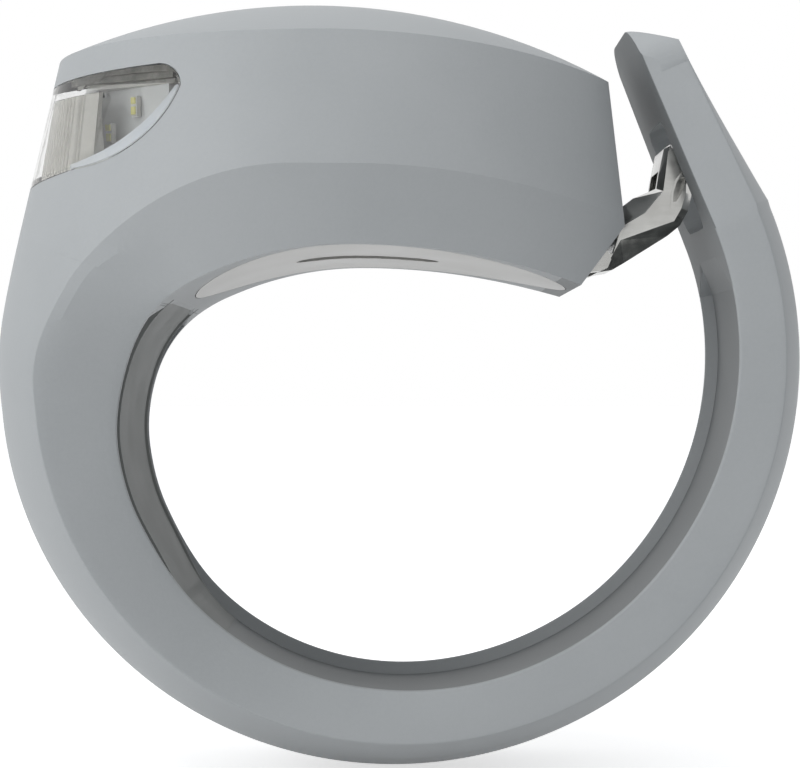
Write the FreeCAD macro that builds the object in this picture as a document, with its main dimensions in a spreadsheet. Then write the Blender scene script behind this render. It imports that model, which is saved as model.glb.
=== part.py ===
import FreeCAD, Part
import Sketcher
import os
from math import asin, atan2, cos, degrees, pi, radians, sin, sqrt
from FreeCAD import Placement, Rotation, Vector

# Small bicycle light on a silicone ring strap.
# The bar runs along Y through the ring, the light faces -X and the head is on top, +Z.
# The origin is the middle of the ring. All sizes are millimetres.

os.makedirs("parts", exist_ok=True)
doc = FreeCAD.newDocument("bike_light")
sheet = doc.addObject("Spreadsheet::Sheet", "Sizes")

driving_sizes = {
    # Ring: a circle at the left and bottom, a wider arc at the right, then a straight pull tab
    "ring_radius": 16.5,
    "ring_x": -0.5,
    "ring_z": -0.1,
    "side_radius": 18.5,
    "side_start_angle": 315,
    "tab_lean_angle": 22,
    "tab_length": 11.9,
    # Strap section: thickness, height of the outer crown and half width
    "root_thickness": 7.05,
    "strap_thickness": 4.2,
    "tip_thickness": 2.3,
    "root_crown": 3.1,
    "strap_crown": 1.65,
    "tip_crown": 0.25,
    "root_half_width": 8.8,
    "root_spread": 0.7,
    "root_rise": 1.0,
    "strap_half_width": 6.5,
    "tip_half_width": 5.3,
    "edge_flare": 0.5,
    "tip_round": 3.0,
    "tip_slope": 0.776,
    "channel_depth": 0.6,
    "channel_rim": 0.8,
    "channel_start_angle": 128,
    "channel_end_angle": 374,
    # Strap hinges, where the segments of the moulding meet
    "first_bend_angle": 242,
    "second_bend_angle": 292,
    "third_bend_angle": 340,
    "bend_gap": 0.08,
    # Slot for the hook, measured along the tab from the end of the arc
    "slot_start": 0.3,
    "slot_end": 6.6,
    "slot_side_gap": 0.4,
    "slot_corner": 0.8,
    # Grip pad
    "pad_start_angle": 129.5,
    "pad_level_angle": 200,
    "pad_end_angle": 232,
    "pad_thickness": 0.55,
    "pad_end_thickness": 0.1,
    "pad_side_gap": 1.0,
    # Head outline at the side crease and at the top edge
    "head_middle_x": -7,
    "crease_height": 11.1,
    "crease_nose_x": -22.15,
    "crease_rear_x": 12.3,
    "crease_half_width": 13.45,
    "top_depth": 2.7,
    "top_nose_x": -20.45,
    "top_rear_x": 11.3,
    "top_half_width": 11.5,
    # Below the crease the sides draw in; the rear end has a corner with a slope above and one below
    "draw_in_side": 0.22,
    "rear_corner_x": 10.95,
    "rear_corner_height": 8.67,
    "rear_slope_above": 0.1,
    "rear_slope_below": 0.766,
    # Crown of the head: a barrel with its axis along Y
    "crown_height": 21.2,
    "crown_x": -6.2,
    "crown_long_radius": 33.7,
    "crown_cross_radius": 25.8,
    # Saddle on the underside
    "saddle_height": 7.1,
    "saddle_x": -4,
    "saddle_rear_radius": 38,
    "saddle_front_radius": 19,
    "saddle_turn_radius": 8,
    # Walls and clearances
    "skin_wall": 1.3,
    "core_wall": 0.8,
    "fit_gap": 0.05,
    # Cover on the underside
    "cover_nose_x": -13.0,
    "cover_rear_x": 7.7,
    "cover_middle_x": -5,
    "cover_half_width": 11.6,
    "cover_deck_height": 8.3,
    "coin_slot_length": 8,
    "coin_slot_width": 2.6,
    "coin_slot_depth": 0.7,
    "coin_slot_x": -3.4,
    "seal_height": 0.6,
    "seal_width": 1.1,
    # Coin cells
    "cell_x": -5.3,
    "cell_radius": 10,
    "contact_thickness": 0.25,
    "leaf_height": 0.5,
    # Boards and switch
    "board_thickness": 0.8,
    "board_length": 16,
    "board_width": 12.6,
    "board_x": -5.4,
    "switch_side": 3,
    "switch_height": 1.3,
    "plunger_radius": 1.1,
    "plunger_head_radius": 2.4,
    "plunger_head_height": 0.6,
    "stem_length": 1.3,
    "stem_gap": 0.02,
    "button_travel": 0.3,
    "slide_gap": 0.08,
    # Window, lens and lamp
    "window_top_depth": 4.65,
    "window_top_x": -14.2,
    "window_top_fall": 0.05,
    "window_end_x": -12.84,
    "window_end_share": 0.765,
    "window_belly_x": -14.84,
    "window_belly_share": 0.265,
    "window_knee_x": -18.66,
    "window_knee_z": 11.23,
    "window_low_fall": 0.18,
    "window_end_round": 0.42,
    "lens_thickness": 1.3,
    "lens_flange": 0.45,
    "reflector_wall": 0.7,
    "flute_pitch": 1.0,
    "flute_depth": 0.3,
    "flute_half_width": 0.2,
    "lamp_board_front_x": -17.8,
    "lamp_board_front_half": 4.0,
    "lamp_board_wing_x": -13.4,
    "lamp_board_wing_y": 8.4,
    "lamp_board_low": 11.0,
    "lamp_board_top_depth": 5.3,
    "lamp_board_thickness": 0.6,
    "lamp_side": 1.4,
    "lamp_height": 0.4,
    "lead_pitch": 1.2,
    "lamp_place": 1.9,
    "wing_lamp_first": 0.3,
    "wing_lamp_second": 0.72,
    "pipe_gap": 0.05,
    "pipe_radius": 0.42,
    "pipe_height": 1.9,
    # Coin cell steps, contacts, switch stem, screws and board pins
    "cell_rim": 0.9,
    "cell_lid_step": 0.35,
    "contact_length": 12,
    "contact_width": 5,
    "leaf_length": 7,
    "leaf_width": 2.4,
    "leaf_sheet": 0.15,
    "chip_side": 3.4,
    "chip_height": 0.8,
    "post_radius": 0.9,
    "post_margin": 1.4,
    "well_gap": 0.15,
    "well_floor": 0.5,
    "screw_radius": 0.35,
    "screw_head_radius": 0.8,
    "screw_head_height": 0.45,
    "board_screw_length": 1.8,
    "bracket_screw_length": 2.2,
    "lead_side": 0.4,
    # Hook
    "pin_x": 9.3,
    "pin_z": 6.75,
    "pin_radius": 0.35,
    "pin_fit": 0.04,
    "barrel_radius": 0.7,
    "clasp_width": 6,
    "clasp_wall": 0.9,
    "lug_thickness": 0.9,
    "lug_gap": 0.1,
    "bracket_plate": 0.8,
    "bracket_screw_rise": 3.4,
    "bracket_screw_place": 2.2,
    "hook_room": 0.6,
    "recess_below_pin": 1.0,
    "recess_top": 11.2,
}

# Sizes that follow from the others: what hangs from the crown, and the cells between deck and board
following_sizes = {
    "top_height": "=crown_height - top_depth",
    "window_top": "=crown_height - window_top_depth",
    "lamp_board_high": "=crown_height - lamp_board_top_depth",
    "plunger_room": "=button_travel + stem_gap + stem_length + plunger_head_height + slide_gap",
    "board_room": "=leaf_height + board_thickness + switch_height",
    "cell_room": "=crown_height - skin_wall - fit_gap - plunger_room - board_room",
    "cell_height": "=(cell_room - cover_deck_height - contact_thickness) / 2",
}

for row, (alias, value) in enumerate({**driving_sizes, **following_sizes}.items(), start=1):
    sheet.set(f"A{row}", alias)
    sheet.set(f"B{row}", str(value))
    sheet.setAlias(f"B{row}", alias)
doc.recompute()


def size(alias):
    return float(sheet.get(alias))


def point(x, z, y=0.0):
    return Vector(x, y, z)


def direction(angle):
    return Vector(cos(radians(angle)), 0, sin(radians(angle)))


def line(start, end):
    return Part.makeLine(start, end)


def arc(start, middle, end):
    return Part.Arc(start, middle, end).toShape()


def polygon(points):
    return Part.makePolygon(list(points) + [points[0]])


def across(wire, half_width):
    """A solid with this side outline, as wide as given on both sides of the middle plane."""
    moved = wire.copy()
    moved.translate(Vector(0, -half_width, 0))
    return Part.Face(moved).extrude(Vector(0, 2 * half_width, 0))


def add_part(name, shape):
    part = doc.addObject("Part::Feature", name)
    part.Label = name
    part.Shape = shape
    part.Placement = Placement()
    return part


def single_solid(shape):
    solids = sorted(shape.Solids, key=lambda solid: solid.Volume)
    return solids[-1]


far = 40.0

# Ring and strap
ring_centre = point(size("ring_x"), size("ring_z"))
step_out = size("side_radius") - size("ring_radius")
side_centre = ring_centre - direction(size("side_start_angle")) * step_out
tab_angle = 360 + size("tab_lean_angle")
tab_start = side_centre + direction(tab_angle) * size("side_radius")
tab_along = direction(tab_angle + 90)
tab_out = direction(tab_angle)
tab_frame = Placement(tab_start, Rotation(Vector(0, 1, 0), -size("tab_lean_angle")))

swell_start = 170
thick_end = 320
wide_end = 300
head_join_angle = 171
join_span = 12


def swell(angle, end):
    """Falls smoothly from one at the head to nothing at an angle further round the ring."""
    share = min(max((angle - swell_start) / (end - swell_start), 0), 1)
    return (1 + cos(pi * share)) / 2


def mix(low, high, share):
    return low + (high - low) * share


def ring_station(angle):
    """Inner point, outward direction, thickness, crown height and half width on the ring."""
    share = swell(angle, thick_end)
    centre, radius = ring_centre, size("ring_radius")
    if angle > size("side_start_angle"):
        centre, radius = side_centre, size("side_radius")
    inner = centre + direction(angle) * radius
    thickness = mix(size("strap_thickness"), size("root_thickness"), share)
    crown = mix(size("strap_crown"), size("root_crown"), share)
    half_width = mix(size("strap_half_width"), size("root_half_width"), swell(angle, wide_end))
    near_head = min(max((head_join_angle + join_span - angle) / join_span, 0), 1.5)
    half_width += size("root_spread") * near_head**2
    crown += size("root_rise") * near_head**2
    return inner, direction(angle), thickness, crown, half_width


def tab_station(share):
    """The same on the straight pull tab, from its start to its tip."""
    inner = tab_start + tab_along * (size("tab_length") * share)
    thickness = mix(size("strap_thickness"), size("tip_thickness"), share)
    crown = mix(size("strap_crown"), size("tip_crown"), share)
    half_width = mix(size("strap_half_width"), size("tip_half_width"), share)
    return inner, tab_out, thickness, crown, half_width


def strap_section(station):
    inner, out, thickness, crown, half_width = station
    side = Vector(0, 1, 0)
    edge = half_width + size("edge_flare")
    near_inner = inner - side * half_width
    near_edge = inner + out * (thickness - crown) - side * edge
    top = inner + out * thickness
    far_edge = inner + out * (thickness - crown) + side * edge
    far_inner = inner + side * half_width
    return Part.Wire([
        line(near_inner, near_edge),
        arc(near_edge, top, far_edge),
        line(far_edge, far_inner),
        line(far_inner, near_inner),
    ])


def channel_section(station, above=1.5):
    """Shallow trough with sloping sides along the strap's inner face."""
    inner, out, thickness, crown, half_width = station
    side = Vector(0, 1, 0)
    mouth = half_width - size("channel_rim")
    floor = mouth - size("channel_depth")
    wide = mouth + above
    corners = [
        inner - out * above - side * wide,
        inner + out * size("channel_depth") - side * floor,
        inner + out * size("channel_depth") + side * floor,
        inner - out * above + side * wide,
    ]
    return polygon(corners)


def pad_section(station, height):
    inner, out, thickness, crown, half_width = station
    side = Vector(0, 1, 0)
    wide = half_width - size("channel_rim") - size("channel_depth") - size("pad_side_gap")
    floor = size("channel_depth") - size("fit_gap")
    top = floor - height
    corners = [
        inner + out * floor - side * wide,
        inner + out * floor + side * wide,
        inner + out * top + side * wide,
        inner + out * top - side * wide,
    ]
    return polygon(corners)


def loft(wires, ruled=False):
    return Part.makeLoft(wires, True, ruled, False)


ring_angles = [162, 171, 180, 195, 212, 230, 250, 270, 290, 310, 330, 350, 366]
stations = [ring_station(angle) for angle in ring_angles]
stations += [tab_station(share) for share in (0.0, 0.33, 0.67, 1.0)]
strap_form = loft([strap_section(station) for station in stations])


# Head outlines: egg-shaped loops in level planes


def egg(height, nose, middle, rear, half_width):
    """Egg-shaped level loop, made of four quarter ellipses that meet on its axes."""
    centre = point(middle, height)
    side = Vector(0, half_width, 0)
    quarters = []
    for end in (nose, rear):
        tip = point(end, height)
        if abs(end - middle) > half_width:
            ellipse = Part.Ellipse(tip, centre + side, centre)
        else:
            ellipse = Part.Ellipse(centre + side, tip, centre)
        quarters.append(Part.Wire(ellipse.toShape()))
    reach = 2 * far
    front_box = Part.makeBox(reach, reach, reach, point(middle - reach, height - far, -far))
    rear_box = Part.makeBox(reach, reach, reach, point(middle, height - far, -far))
    edges = []
    for loop, half_space in zip(quarters, (front_box, rear_box)):
        edges += loop.common(half_space).Edges
    return Part.Wire(Part.__sortEdges__(edges))


def upper_outline(height, inset=0.0):
    """Outline of the leaning upper side walls at a height."""
    share = (height - size("crease_height")) / (size("top_height") - size("crease_height"))
    nose = mix(size("crease_nose_x"), size("top_nose_x"), share) + inset
    rear = mix(size("crease_rear_x"), size("top_rear_x"), share) - inset
    half_width = mix(size("crease_half_width"), size("top_half_width"), share) - inset
    return egg(height, nose, size("head_middle_x"), rear, half_width)


def lower_outline(height, inset=0.0):
    """Outline of the walls below the crease, which draw in downwards."""
    drop = size("crease_height") - height
    rear = size("crease_rear_x") - inset
    half_width = size("crease_half_width") - drop * size("draw_in_side") - inset
    return egg(height, size("crease_nose_x") - 8, size("head_middle_x"), rear, half_width)


def crown_barrel(inset=0.0):
    """Body whose top is the head's crown: arcs across, whose tops follow one long arc."""
    centre = point(size("crown_x"), size("crown_height") - size("crown_long_radius"))
    long_radius = size("crown_long_radius") - inset
    cross_radius = size("crown_cross_radius") - inset
    half_length = 16.0
    drop = cross_radius - sqrt(cross_radius**2 - half_length**2)
    sections = []
    for step in range(-3, 4):
        angle = radians(step * 14)
        top = centre + Vector(sin(angle), 0, cos(angle)) * long_radius
        low = Vector(0, half_length, drop)
        left = top - low
        right = Vector(top.x, half_length, left.z)
        floor = Vector(0, 0, left.z + far)
        sections.append(Part.Wire([
            arc(left, top, right),
            line(right, right - floor),
            line(right - floor, left - floor),
            line(left - floor, left),
        ]))
    return loft(sections)


head_low = 0.0
head_high = size("crown_height") + 2


def rear_limit(inset):
    """Everything in front of the head's two rear slopes."""
    corner_x = size("rear_corner_x") - inset
    corner_height = size("rear_corner_height")
    low = corner_height - 10
    high = corner_height + 20
    return across(polygon([
        point(-far, low),
        point(corner_x - 10 * size("rear_slope_below"), low),
        point(corner_x, corner_height),
        point(corner_x - 20 * size("rear_slope_above"), high),
        point(-far, high),
    ]), far / 2)


def head_block(inset=0.0):
    """The head's outer form, drawn in by a wall where a hollow or an inner shell is wanted."""
    upper = loft([upper_outline(head_low, inset), upper_outline(head_high, inset)], ruled=True)
    lower = loft([lower_outline(head_low, inset), lower_outline(head_high, inset)], ruled=True)
    return upper.common(lower).common(crown_barrel(inset)).common(rear_limit(inset))


# Inner boundary of the ring, seen from the side: the space that the bar takes

saddle_crest = point(size("saddle_x"), size("saddle_height"))
rear_centre = saddle_crest - Vector(0, 0, size("saddle_rear_radius"))
front_centre = saddle_crest - Vector(0, 0, size("saddle_front_radius"))


def circle_crossing(first, first_radius, second, second_radius):
    """The crossing of two circles that lies further left."""
    gap = second - first
    distance = gap.Length
    along = (first_radius**2 - second_radius**2 + distance**2) / (2 * distance)
    height = sqrt(first_radius**2 - along**2)
    unit = gap * (1 / distance)
    square = Vector(-unit.z, 0, unit.x)
    options = [first + unit * along + square * height, first + unit * along - square * height]
    return min(options, key=lambda place: place.x)


def heading(centre, place):
    return degrees(atan2(place.z - centre.z, place.x - centre.x))


turn_radius = size("saddle_turn_radius")
turn_centre = circle_crossing(
    ring_centre, size("ring_radius") - turn_radius,
    front_centre, size("saddle_front_radius") - turn_radius,
)
saddle_angle = heading(front_centre, turn_centre)
ring_join_angle = heading(ring_centre, turn_centre) % 360
side_angle = size("side_start_angle")


def arc_about(centre, radius, start_angle, end_angle):
    middle_angle = (start_angle + end_angle) / 2
    return arc(
        centre + direction(start_angle) * radius,
        centre + direction(middle_angle) * radius,
        centre + direction(end_angle) * radius,
    )


def bar_space(rear_x=16.0):
    """The D-shaped space inside the ring, open under the head and closed by the pull tab's line."""
    rear_lean = degrees(asin((rear_x - size("saddle_x")) / size("saddle_rear_radius")))
    rear_point = rear_centre + direction(90 - rear_lean) * size("saddle_rear_radius")
    tab_point = side_centre + direction(tab_angle) * size("side_radius")
    edges = [
        arc_about(rear_centre, size("saddle_rear_radius"), 90 - rear_lean, 90),
        arc_about(front_centre, size("saddle_front_radius"), 90, saddle_angle),
        arc_about(turn_centre, turn_radius, saddle_angle, ring_join_angle),
        arc_about(ring_centre, size("ring_radius"), ring_join_angle, side_angle),
        arc_about(side_centre, size("side_radius"), side_angle, 360),
        line(side_centre + Vector(size("side_radius"), 0, 0), rear_point),
    ]
    return across(Part.Wire(Part.__sortEdges__(edges)), far / 2)


# Cheeks: where the head narrows into the strap, the side walls fan round the turn
cheek_start_angle = 84
cheek_end_angle = 192
cheek_step = 12
cheek_margin = 0.1
cheek_fall = size("draw_in_side") * (size("crease_height") - size("saddle_height"))
cheek_wide = size("crease_half_width") - cheek_fall + cheek_margin
cheek_narrow = size("root_half_width")


def turn_station(angle):
    """Inner point, outward direction, and half width of the underside at the turn."""
    inner = turn_centre + direction(angle) * turn_radius
    share = min(max((angle - cheek_start_angle) / (cheek_end_angle - cheek_start_angle), 0), 1)
    half_width = mix(cheek_wide, cheek_narrow, (1 - cos(pi * share)) / 2)
    return inner, direction(angle), 0, 0, half_width


def cheek_section(station):
    inner, out, thickness, crown, half_width = station
    start = inner - out * 2
    reach = 22
    rise = size("draw_in_side")
    low = half_width - 2 * rise
    high = half_width + (reach - 2) * rise
    side = Vector(0, 1, 0)
    end = start + out * reach
    return polygon([start - side * low, end - side * high, end + side * high, start + side * low])


def sector(start_angle, end_angle, half_width=20.0, trim=0.0):
    """Wedge about the ring's centre between two rays, each moved inwards by the trim."""
    middle_angle = (start_angle + end_angle) / 2
    start_shift = direction(start_angle + 90) * trim
    end_shift = direction(end_angle - 90) * trim
    corners = [
        ring_centre + start_shift,
        ring_centre + direction(start_angle) * far + start_shift,
        ring_centre + direction(middle_angle) * (far * 1.5),
        ring_centre + direction(end_angle) * far + end_shift,
        ring_centre + end_shift,
    ]
    if trim == 0:
        corners = corners[:-1]
    return across(polygon(corners), half_width)


cheek_angles = range(cheek_start_angle, cheek_end_angle + 1, cheek_step)
cheeks = loft([cheek_section(turn_station(angle)) for angle in cheek_angles])
rear_start = turn_centre.x + 0.5
rear_low = -5
nose_free_height = 8.0
rear_half = Part.makeBox(far, far, far, point(rear_start, rear_low, -far / 2))
bar_void = bar_space()

# Trough along the inner face, from the head's turn to the foot of the tab
channel_stations = [
    turn_station(mix(size("channel_start_angle"), ring_join_angle, step / 4)) for step in range(5)
]
channel_stations += [ring_station(angle) for angle in ring_angles if ring_join_angle + 6 < angle < 360]
channel_stations.append(ring_station(size("channel_end_angle")))
channel_form = loft([channel_section(station) for station in channel_stations])
root_radius = size("ring_radius") + size("root_thickness")
nose_limit = Part.makeCylinder(
    root_radius, far, point(ring_centre.x, ring_centre.z, -far / 2), Vector(0, 1, 0)
)
upper_half = Part.makeBox(2 * far, far, far, point(-far, nose_free_height, -far / 2))
turn_collar = Part.makeCylinder(
    size("ring_radius") + 1, far, point(ring_centre.x, ring_centre.z, -far / 2), Vector(0, 1, 0)
)
below_join = sector(head_join_angle, 250).cut(turn_collar)
head_form = head_block().common(cheeks.fuse(rear_half)).common(nose_limit.fuse(upper_half))
head_form = head_form.cut(bar_void).cut(below_join)

# Clearance for the hook and its lugs at the head's rear lower edge
lug_reach = size("clasp_width") / 2 + size("lug_gap") + size("lug_thickness")
recess_half_width = lug_reach + size("fit_gap")
recess_floor_x = size("pin_x") - size("barrel_radius") - size("hook_room")
recess_back_x = recess_floor_x - size("bracket_plate")
recess_low = size("pin_z") - size("recess_below_pin")
recess = Part.makeBox(
    10, 2 * recess_half_width, size("recess_top") - recess_low,
    point(recess_back_x, recess_low, -recess_half_width)
)

# Hollow of the head: room for the cover below its deck and for the core above it


def cover_outline(height, inset=0.0):
    half_width = size("cover_half_width") - inset
    nose = size("cover_nose_x") + inset
    rear = size("cover_rear_x") - inset
    return egg(height, nose, size("cover_middle_x"), rear, half_width)


def cover_prism(low, high, inset=0.0):
    return loft([cover_outline(low, inset), cover_outline(high, inset)], ruled=True)


deck = size("cover_deck_height")
above_deck = Part.makeBox(2 * far, 2 * far, far, point(-far, deck, -far))
core_outer = head_block(size("skin_wall") + size("fit_gap")).common(above_deck)
skin_hollow = head_block(size("skin_wall")).common(above_deck)
cover_opening = cover_prism(0, deck + 0.1, -size("fit_gap"))

# Window through the skin, a leaf shape seen from the side that wraps round the nose


def window_outline(grow=0.0):
    front_x = size("crease_nose_x") - 5
    top_touch = point(size("window_top_x"), size("window_top"))
    knee = point(size("window_knee_x"), size("window_knee_z"))
    end = point(size("window_end_x"), mix(knee.z, top_touch.z, size("window_end_share")))
    belly = point(size("window_belly_x"), mix(knee.z, top_touch.z, size("window_belly_share")))
    top_front = point(front_x, top_touch.z - (top_touch.x - front_x) * size("window_top_fall"))
    low_front = point(front_x, knee.z - (knee.x - front_x) * size("window_low_fall"))
    bend = (top_touch + end) * 0.5 + direction(40) * size("window_end_round")
    outline = Part.Wire(Part.__sortEdges__([
        line(top_front, top_touch),
        arc(top_touch, bend, end),
        arc(end, belly, knee),
        line(knee, low_front),
        line(low_front, top_front),
    ]))
    if grow == 0:
        return outline
    return outline.makeOffset2D(grow, 2, False, False, False)


window = across(window_outline(), far / 2)

# Silicone moulding
hollow = skin_hollow.fuse(cover_opening)
slot_box = Part.makeBox(
    12, size("clasp_width") + 2 * size("slot_side_gap"), size("slot_end") - size("slot_start")
)
slot_box.translate(Vector(-3, -size("clasp_width") / 2 - size("slot_side_gap"), size("slot_start")))
slot_sides = [edge for edge in slot_box.Edges if abs(edge.tangentAt(edge.FirstParameter).x) > 0.9]
slot_box = slot_box.makeFillet(size("slot_corner"), slot_sides)
slot_box.Placement = tab_frame

tip_outline_half = size("tip_half_width") + 4
tip_end = size("tab_length")
tip_half = size("tip_half_width") + size("edge_flare")
tip_round = size("tip_round")
bow = tip_round * (1 - 1 / sqrt(2))
corner_low = Vector(-8, -tip_half, tip_end - tip_round)
corner_mid = Vector(-8, -tip_half + bow, tip_end - bow)
corner_end = Vector(-8, -tip_half + tip_round, tip_end)
mirror_low, mirror_mid, mirror_end = [
    Vector(place.x, -place.y, place.z) for place in (corner_low, corner_mid, corner_end)
]
tip_loop = Part.Wire([
    line(Vector(-8, -tip_outline_half, -30), Vector(-8, -tip_outline_half, tip_end - tip_round)),
    line(Vector(-8, -tip_outline_half, tip_end - tip_round), corner_low),
    arc(corner_low, corner_mid, corner_end),
    line(corner_end, mirror_end),
    arc(mirror_end, mirror_mid, mirror_low),
    line(mirror_low, Vector(-8, tip_outline_half, tip_end - tip_round)),
    line(Vector(-8, tip_outline_half, tip_end - tip_round), Vector(-8, tip_outline_half, -30)),
    line(Vector(-8, tip_outline_half, -30), Vector(-8, -tip_outline_half, -30)),
])
tip_shape = Part.Face(tip_loop).extrude(Vector(20, 0, 0))
slope = size("tip_slope")
tip_cut = across(polygon([
    point(-1, tip_end + slope),
    point(12, tip_end - 12 * slope),
    point(12, tip_end + 12),
    point(-1, tip_end + 12),
]), far / 2)
tip_shape = tip_shape.cut(tip_cut)
tip_shape.Placement = tab_frame

bends = [size("first_bend_angle"), size("second_bend_angle"), size("third_bend_angle")]
trim = size("bend_gap") / 2
band = strap_form.cut(channel_form)
below_head = 150
root_band = band.common(sector(below_head, bends[0], trim=trim))
lower_band = band.common(sector(bends[0], bends[1], trim=trim))
side_band = band.common(sector(bends[1], bends[2], trim=trim))
end_band = band.common(sector(bends[2], bends[2] + 90, trim=trim))

skin = head_form.fuse(root_band)
skin = skin.cut(channel_form).cut(hollow).cut(window).cut(recess)
add_part("silicone_skin", single_solid(skin))
add_part("strap_lower", single_solid(lower_band))
add_part("strap_side", single_solid(side_band))
add_part("strap_end", single_solid(end_band.common(tip_shape).cut(slot_box)))


# Grip pad in the trough
pad_sections = []
for step in range(5):
    angle = mix(size("pad_start_angle"), ring_join_angle, step / 4)
    pad_sections.append(pad_section(turn_station(angle), size("pad_thickness")))
pad_fall = size("pad_end_angle") - size("pad_level_angle")
for step in range(4):
    share = step / 3
    angle = size("pad_level_angle") + pad_fall * share
    height = mix(size("pad_thickness"), size("pad_end_thickness"), share)
    pad_sections.append(pad_section(ring_station(angle), height))
pad = loft(pad_sections)
add_part("strap_pad", pad)

# Cover on the underside, with a slot for a coin
coin_slot = Part.makeBox(
    size("coin_slot_length"), size("coin_slot_width"), size("coin_slot_depth") + 3
)
coin_slot.translate(Vector(
    size("coin_slot_x") - size("coin_slot_length") / 2,
    -size("coin_slot_width") / 2,
    size("saddle_height") + size("coin_slot_depth") - coin_slot.BoundBox.ZLength,
))
coin_slot_ends = [edge for edge in coin_slot.Edges if abs(edge.tangentAt(edge.FirstParameter).z) > 0.9]
coin_slot = coin_slot.makeFillet(size("coin_slot_width") / 2 - 0.05, coin_slot_ends)
cover = cover_prism(0, deck).cut(bar_void).cut(coin_slot).cut(recess)
seal_outer = cover_prism(deck - size("seal_height"), deck, size("fit_gap"))
seal_inner = cover_prism(deck - size("seal_height"), deck, size("seal_width"))
seal_groove = cover_prism(deck - size("seal_height"), deck + 1, -1).cut(
    cover_prism(deck - size("seal_height"), deck + 1, size("seal_width"))
)
cover = single_solid(cover.cut(seal_groove))
add_part("base_cover", cover)
seal = seal_outer.cut(seal_inner).cut(recess)
add_part("cover_seal", single_solid(seal))

# Core: the hard housing inside the silicone, open below and at the window
core_inset = size("skin_wall") + size("fit_gap") + size("core_wall")
core_room = head_block(core_inset).common(
    Part.makeBox(2 * far, 2 * far, far, point(-far, deck - 0.1, -far))
)
core_window = across(window_outline(size("lens_flange") + 0.1), far / 2)
core = core_outer.cut(core_room).cut(core_window)

switch_x = size("crown_x")
cell_floor = deck + size("contact_thickness")
cell_top = cell_floor + 2 * size("cell_height")
board_floor = cell_top + size("leaf_height")
board_top = board_floor + size("board_thickness")
switch_top = board_top + size("switch_height")
core_top = size("crown_height") - size("skin_wall") - size("fit_gap")
head_top = core_top - size("slide_gap")
head_floor = head_top - size("plunger_head_height")
well_floor = head_floor - size("button_travel") - size("well_gap")
boss_floor = well_floor - size("well_floor")


def upright(radius, low, high, x=switch_x, y=0.0):
    return Part.makeCylinder(radius, high - low, point(x, low, y))


def facets(radius, low, high, x=0.0, y=0.0, sides=12):
    """Upright prism with flat sides, for small fasteners and their holes."""
    corners = []
    for step in range(sides):
        turned = 2 * pi * step / sides
        corners.append(Vector(x + radius * cos(turned), y + radius * sin(turned), low))
    return Part.Face(polygon(corners)).extrude(Vector(0, 0, high - low))


boss = upright(size("plunger_head_radius") + 1, boss_floor, core_top).common(core_outer)
core = core.fuse(boss)
core = core.cut(upright(size("plunger_head_radius") + size("slide_gap"), well_floor, core_top + 2))
core = core.cut(upright(size("plunger_radius") + size("slide_gap"), boss_floor - 1, core_top))
core = core.cut(recess)
post_reach_x = size("board_length") / 2 - size("post_margin")
post_reach_y = size("board_width") / 2 - size("post_margin")
post_places = [
    (size("board_x") + side_x * post_reach_x, side_y * post_reach_y)
    for side_x in (-1, 1) for side_y in (-1, 1)
]
for post_x, post_y in post_places:
    post = facets(size("post_radius"), board_top, core_top, post_x, post_y, sides=8).common(core_outer)
    pilot = facets(size("screw_radius"), board_top - 1, board_top + 1.4, post_x, post_y)
    core = core.fuse(post).cut(pilot)
add_part("core_shell", single_solid(core))

# Lens with a flange behind the skin
flange_outer = size("skin_wall") + size("fit_gap")
lens_ring = head_block(flange_outer).cut(head_block(flange_outer + size("lens_flange")))
lens_window = across(window_outline(-size("fit_gap")), far / 2)
flange_window = across(window_outline(size("lens_flange")), far / 2)
lens_body = head_block().cut(head_block(flange_outer + size("lens_flange"))).common(lens_window)
lens = lens_body.fuse(lens_ring.common(flange_window))
add_part("lens", single_solid(lens))

# Lamp board: a bent strip with a front and two wings
board_front = size("lamp_board_front_x")
front_half = size("lamp_board_front_half")
wing_x = size("lamp_board_wing_x")
wing_y = size("lamp_board_wing_y")
board_low = size("lamp_board_low")
board_high = size("lamp_board_high")
wing_angle = degrees(atan2(wing_y - front_half, wing_x - board_front))


def lamp_strip(offset_outer, offset_inner, low, high):
    """Strip of three flat stretches between two offsets behind the board's face."""
    half_turn = radians(90 - wing_angle) / 2
    wing_out = Vector(-sin(radians(wing_angle)), cos(radians(wing_angle)), 0)
    loops = []
    for offset in (offset_outer, offset_inner):
        corner = Vector(board_front + offset, front_half - offset * sin(half_turn), 0)
        end = Vector(wing_x, wing_y, 0) - wing_out * offset
        loops.append((corner, end))
    (corner_out, end_out), (corner_in, end_in) = loops
    half = [end_out, corner_out]
    outline = half + [Vector(v.x, -v.y, 0) for v in reversed(half)]
    back = [end_in, corner_in]
    outline += [Vector(v.x, -v.y, 0) for v in back] + list(reversed(back))
    face = Part.Face(polygon([Vector(v.x, v.y, low) for v in outline]))
    return face.extrude(Vector(0, 0, high - low))


add_part("led_board", lamp_strip(0, size("lamp_board_thickness"), board_low, board_high))

lamp_height = (board_low + board_high) / 2
lamp_side = size("lamp_side")


def lamp(centre, turn):
    """Square package with a small dome, facing outwards from the board."""
    package = Part.makeBox(size("lamp_height"), lamp_side, lamp_side)
    package.translate(Vector(-size("lamp_height"), -lamp_side / 2, -lamp_side / 2))
    package.Placement = Placement(centre, Rotation(Vector(0, 0, 1), turn)) * package.Placement
    return package


wing_out_turn = -(90 - wing_angle)
lamps = []
for side in (-1, 1):
    lamps.append(lamp(Vector(board_front, side * size("lamp_place"), lamp_height), 0))
    for share in (size("wing_lamp_first"), size("wing_lamp_second")):
        centre = Vector(
            mix(board_front, wing_x, share), side * mix(front_half, wing_y, share), lamp_height
        )
        lamps.append(lamp(centre, side * wing_out_turn))
add_part("leds", Part.makeCompound(lamps))

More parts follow.
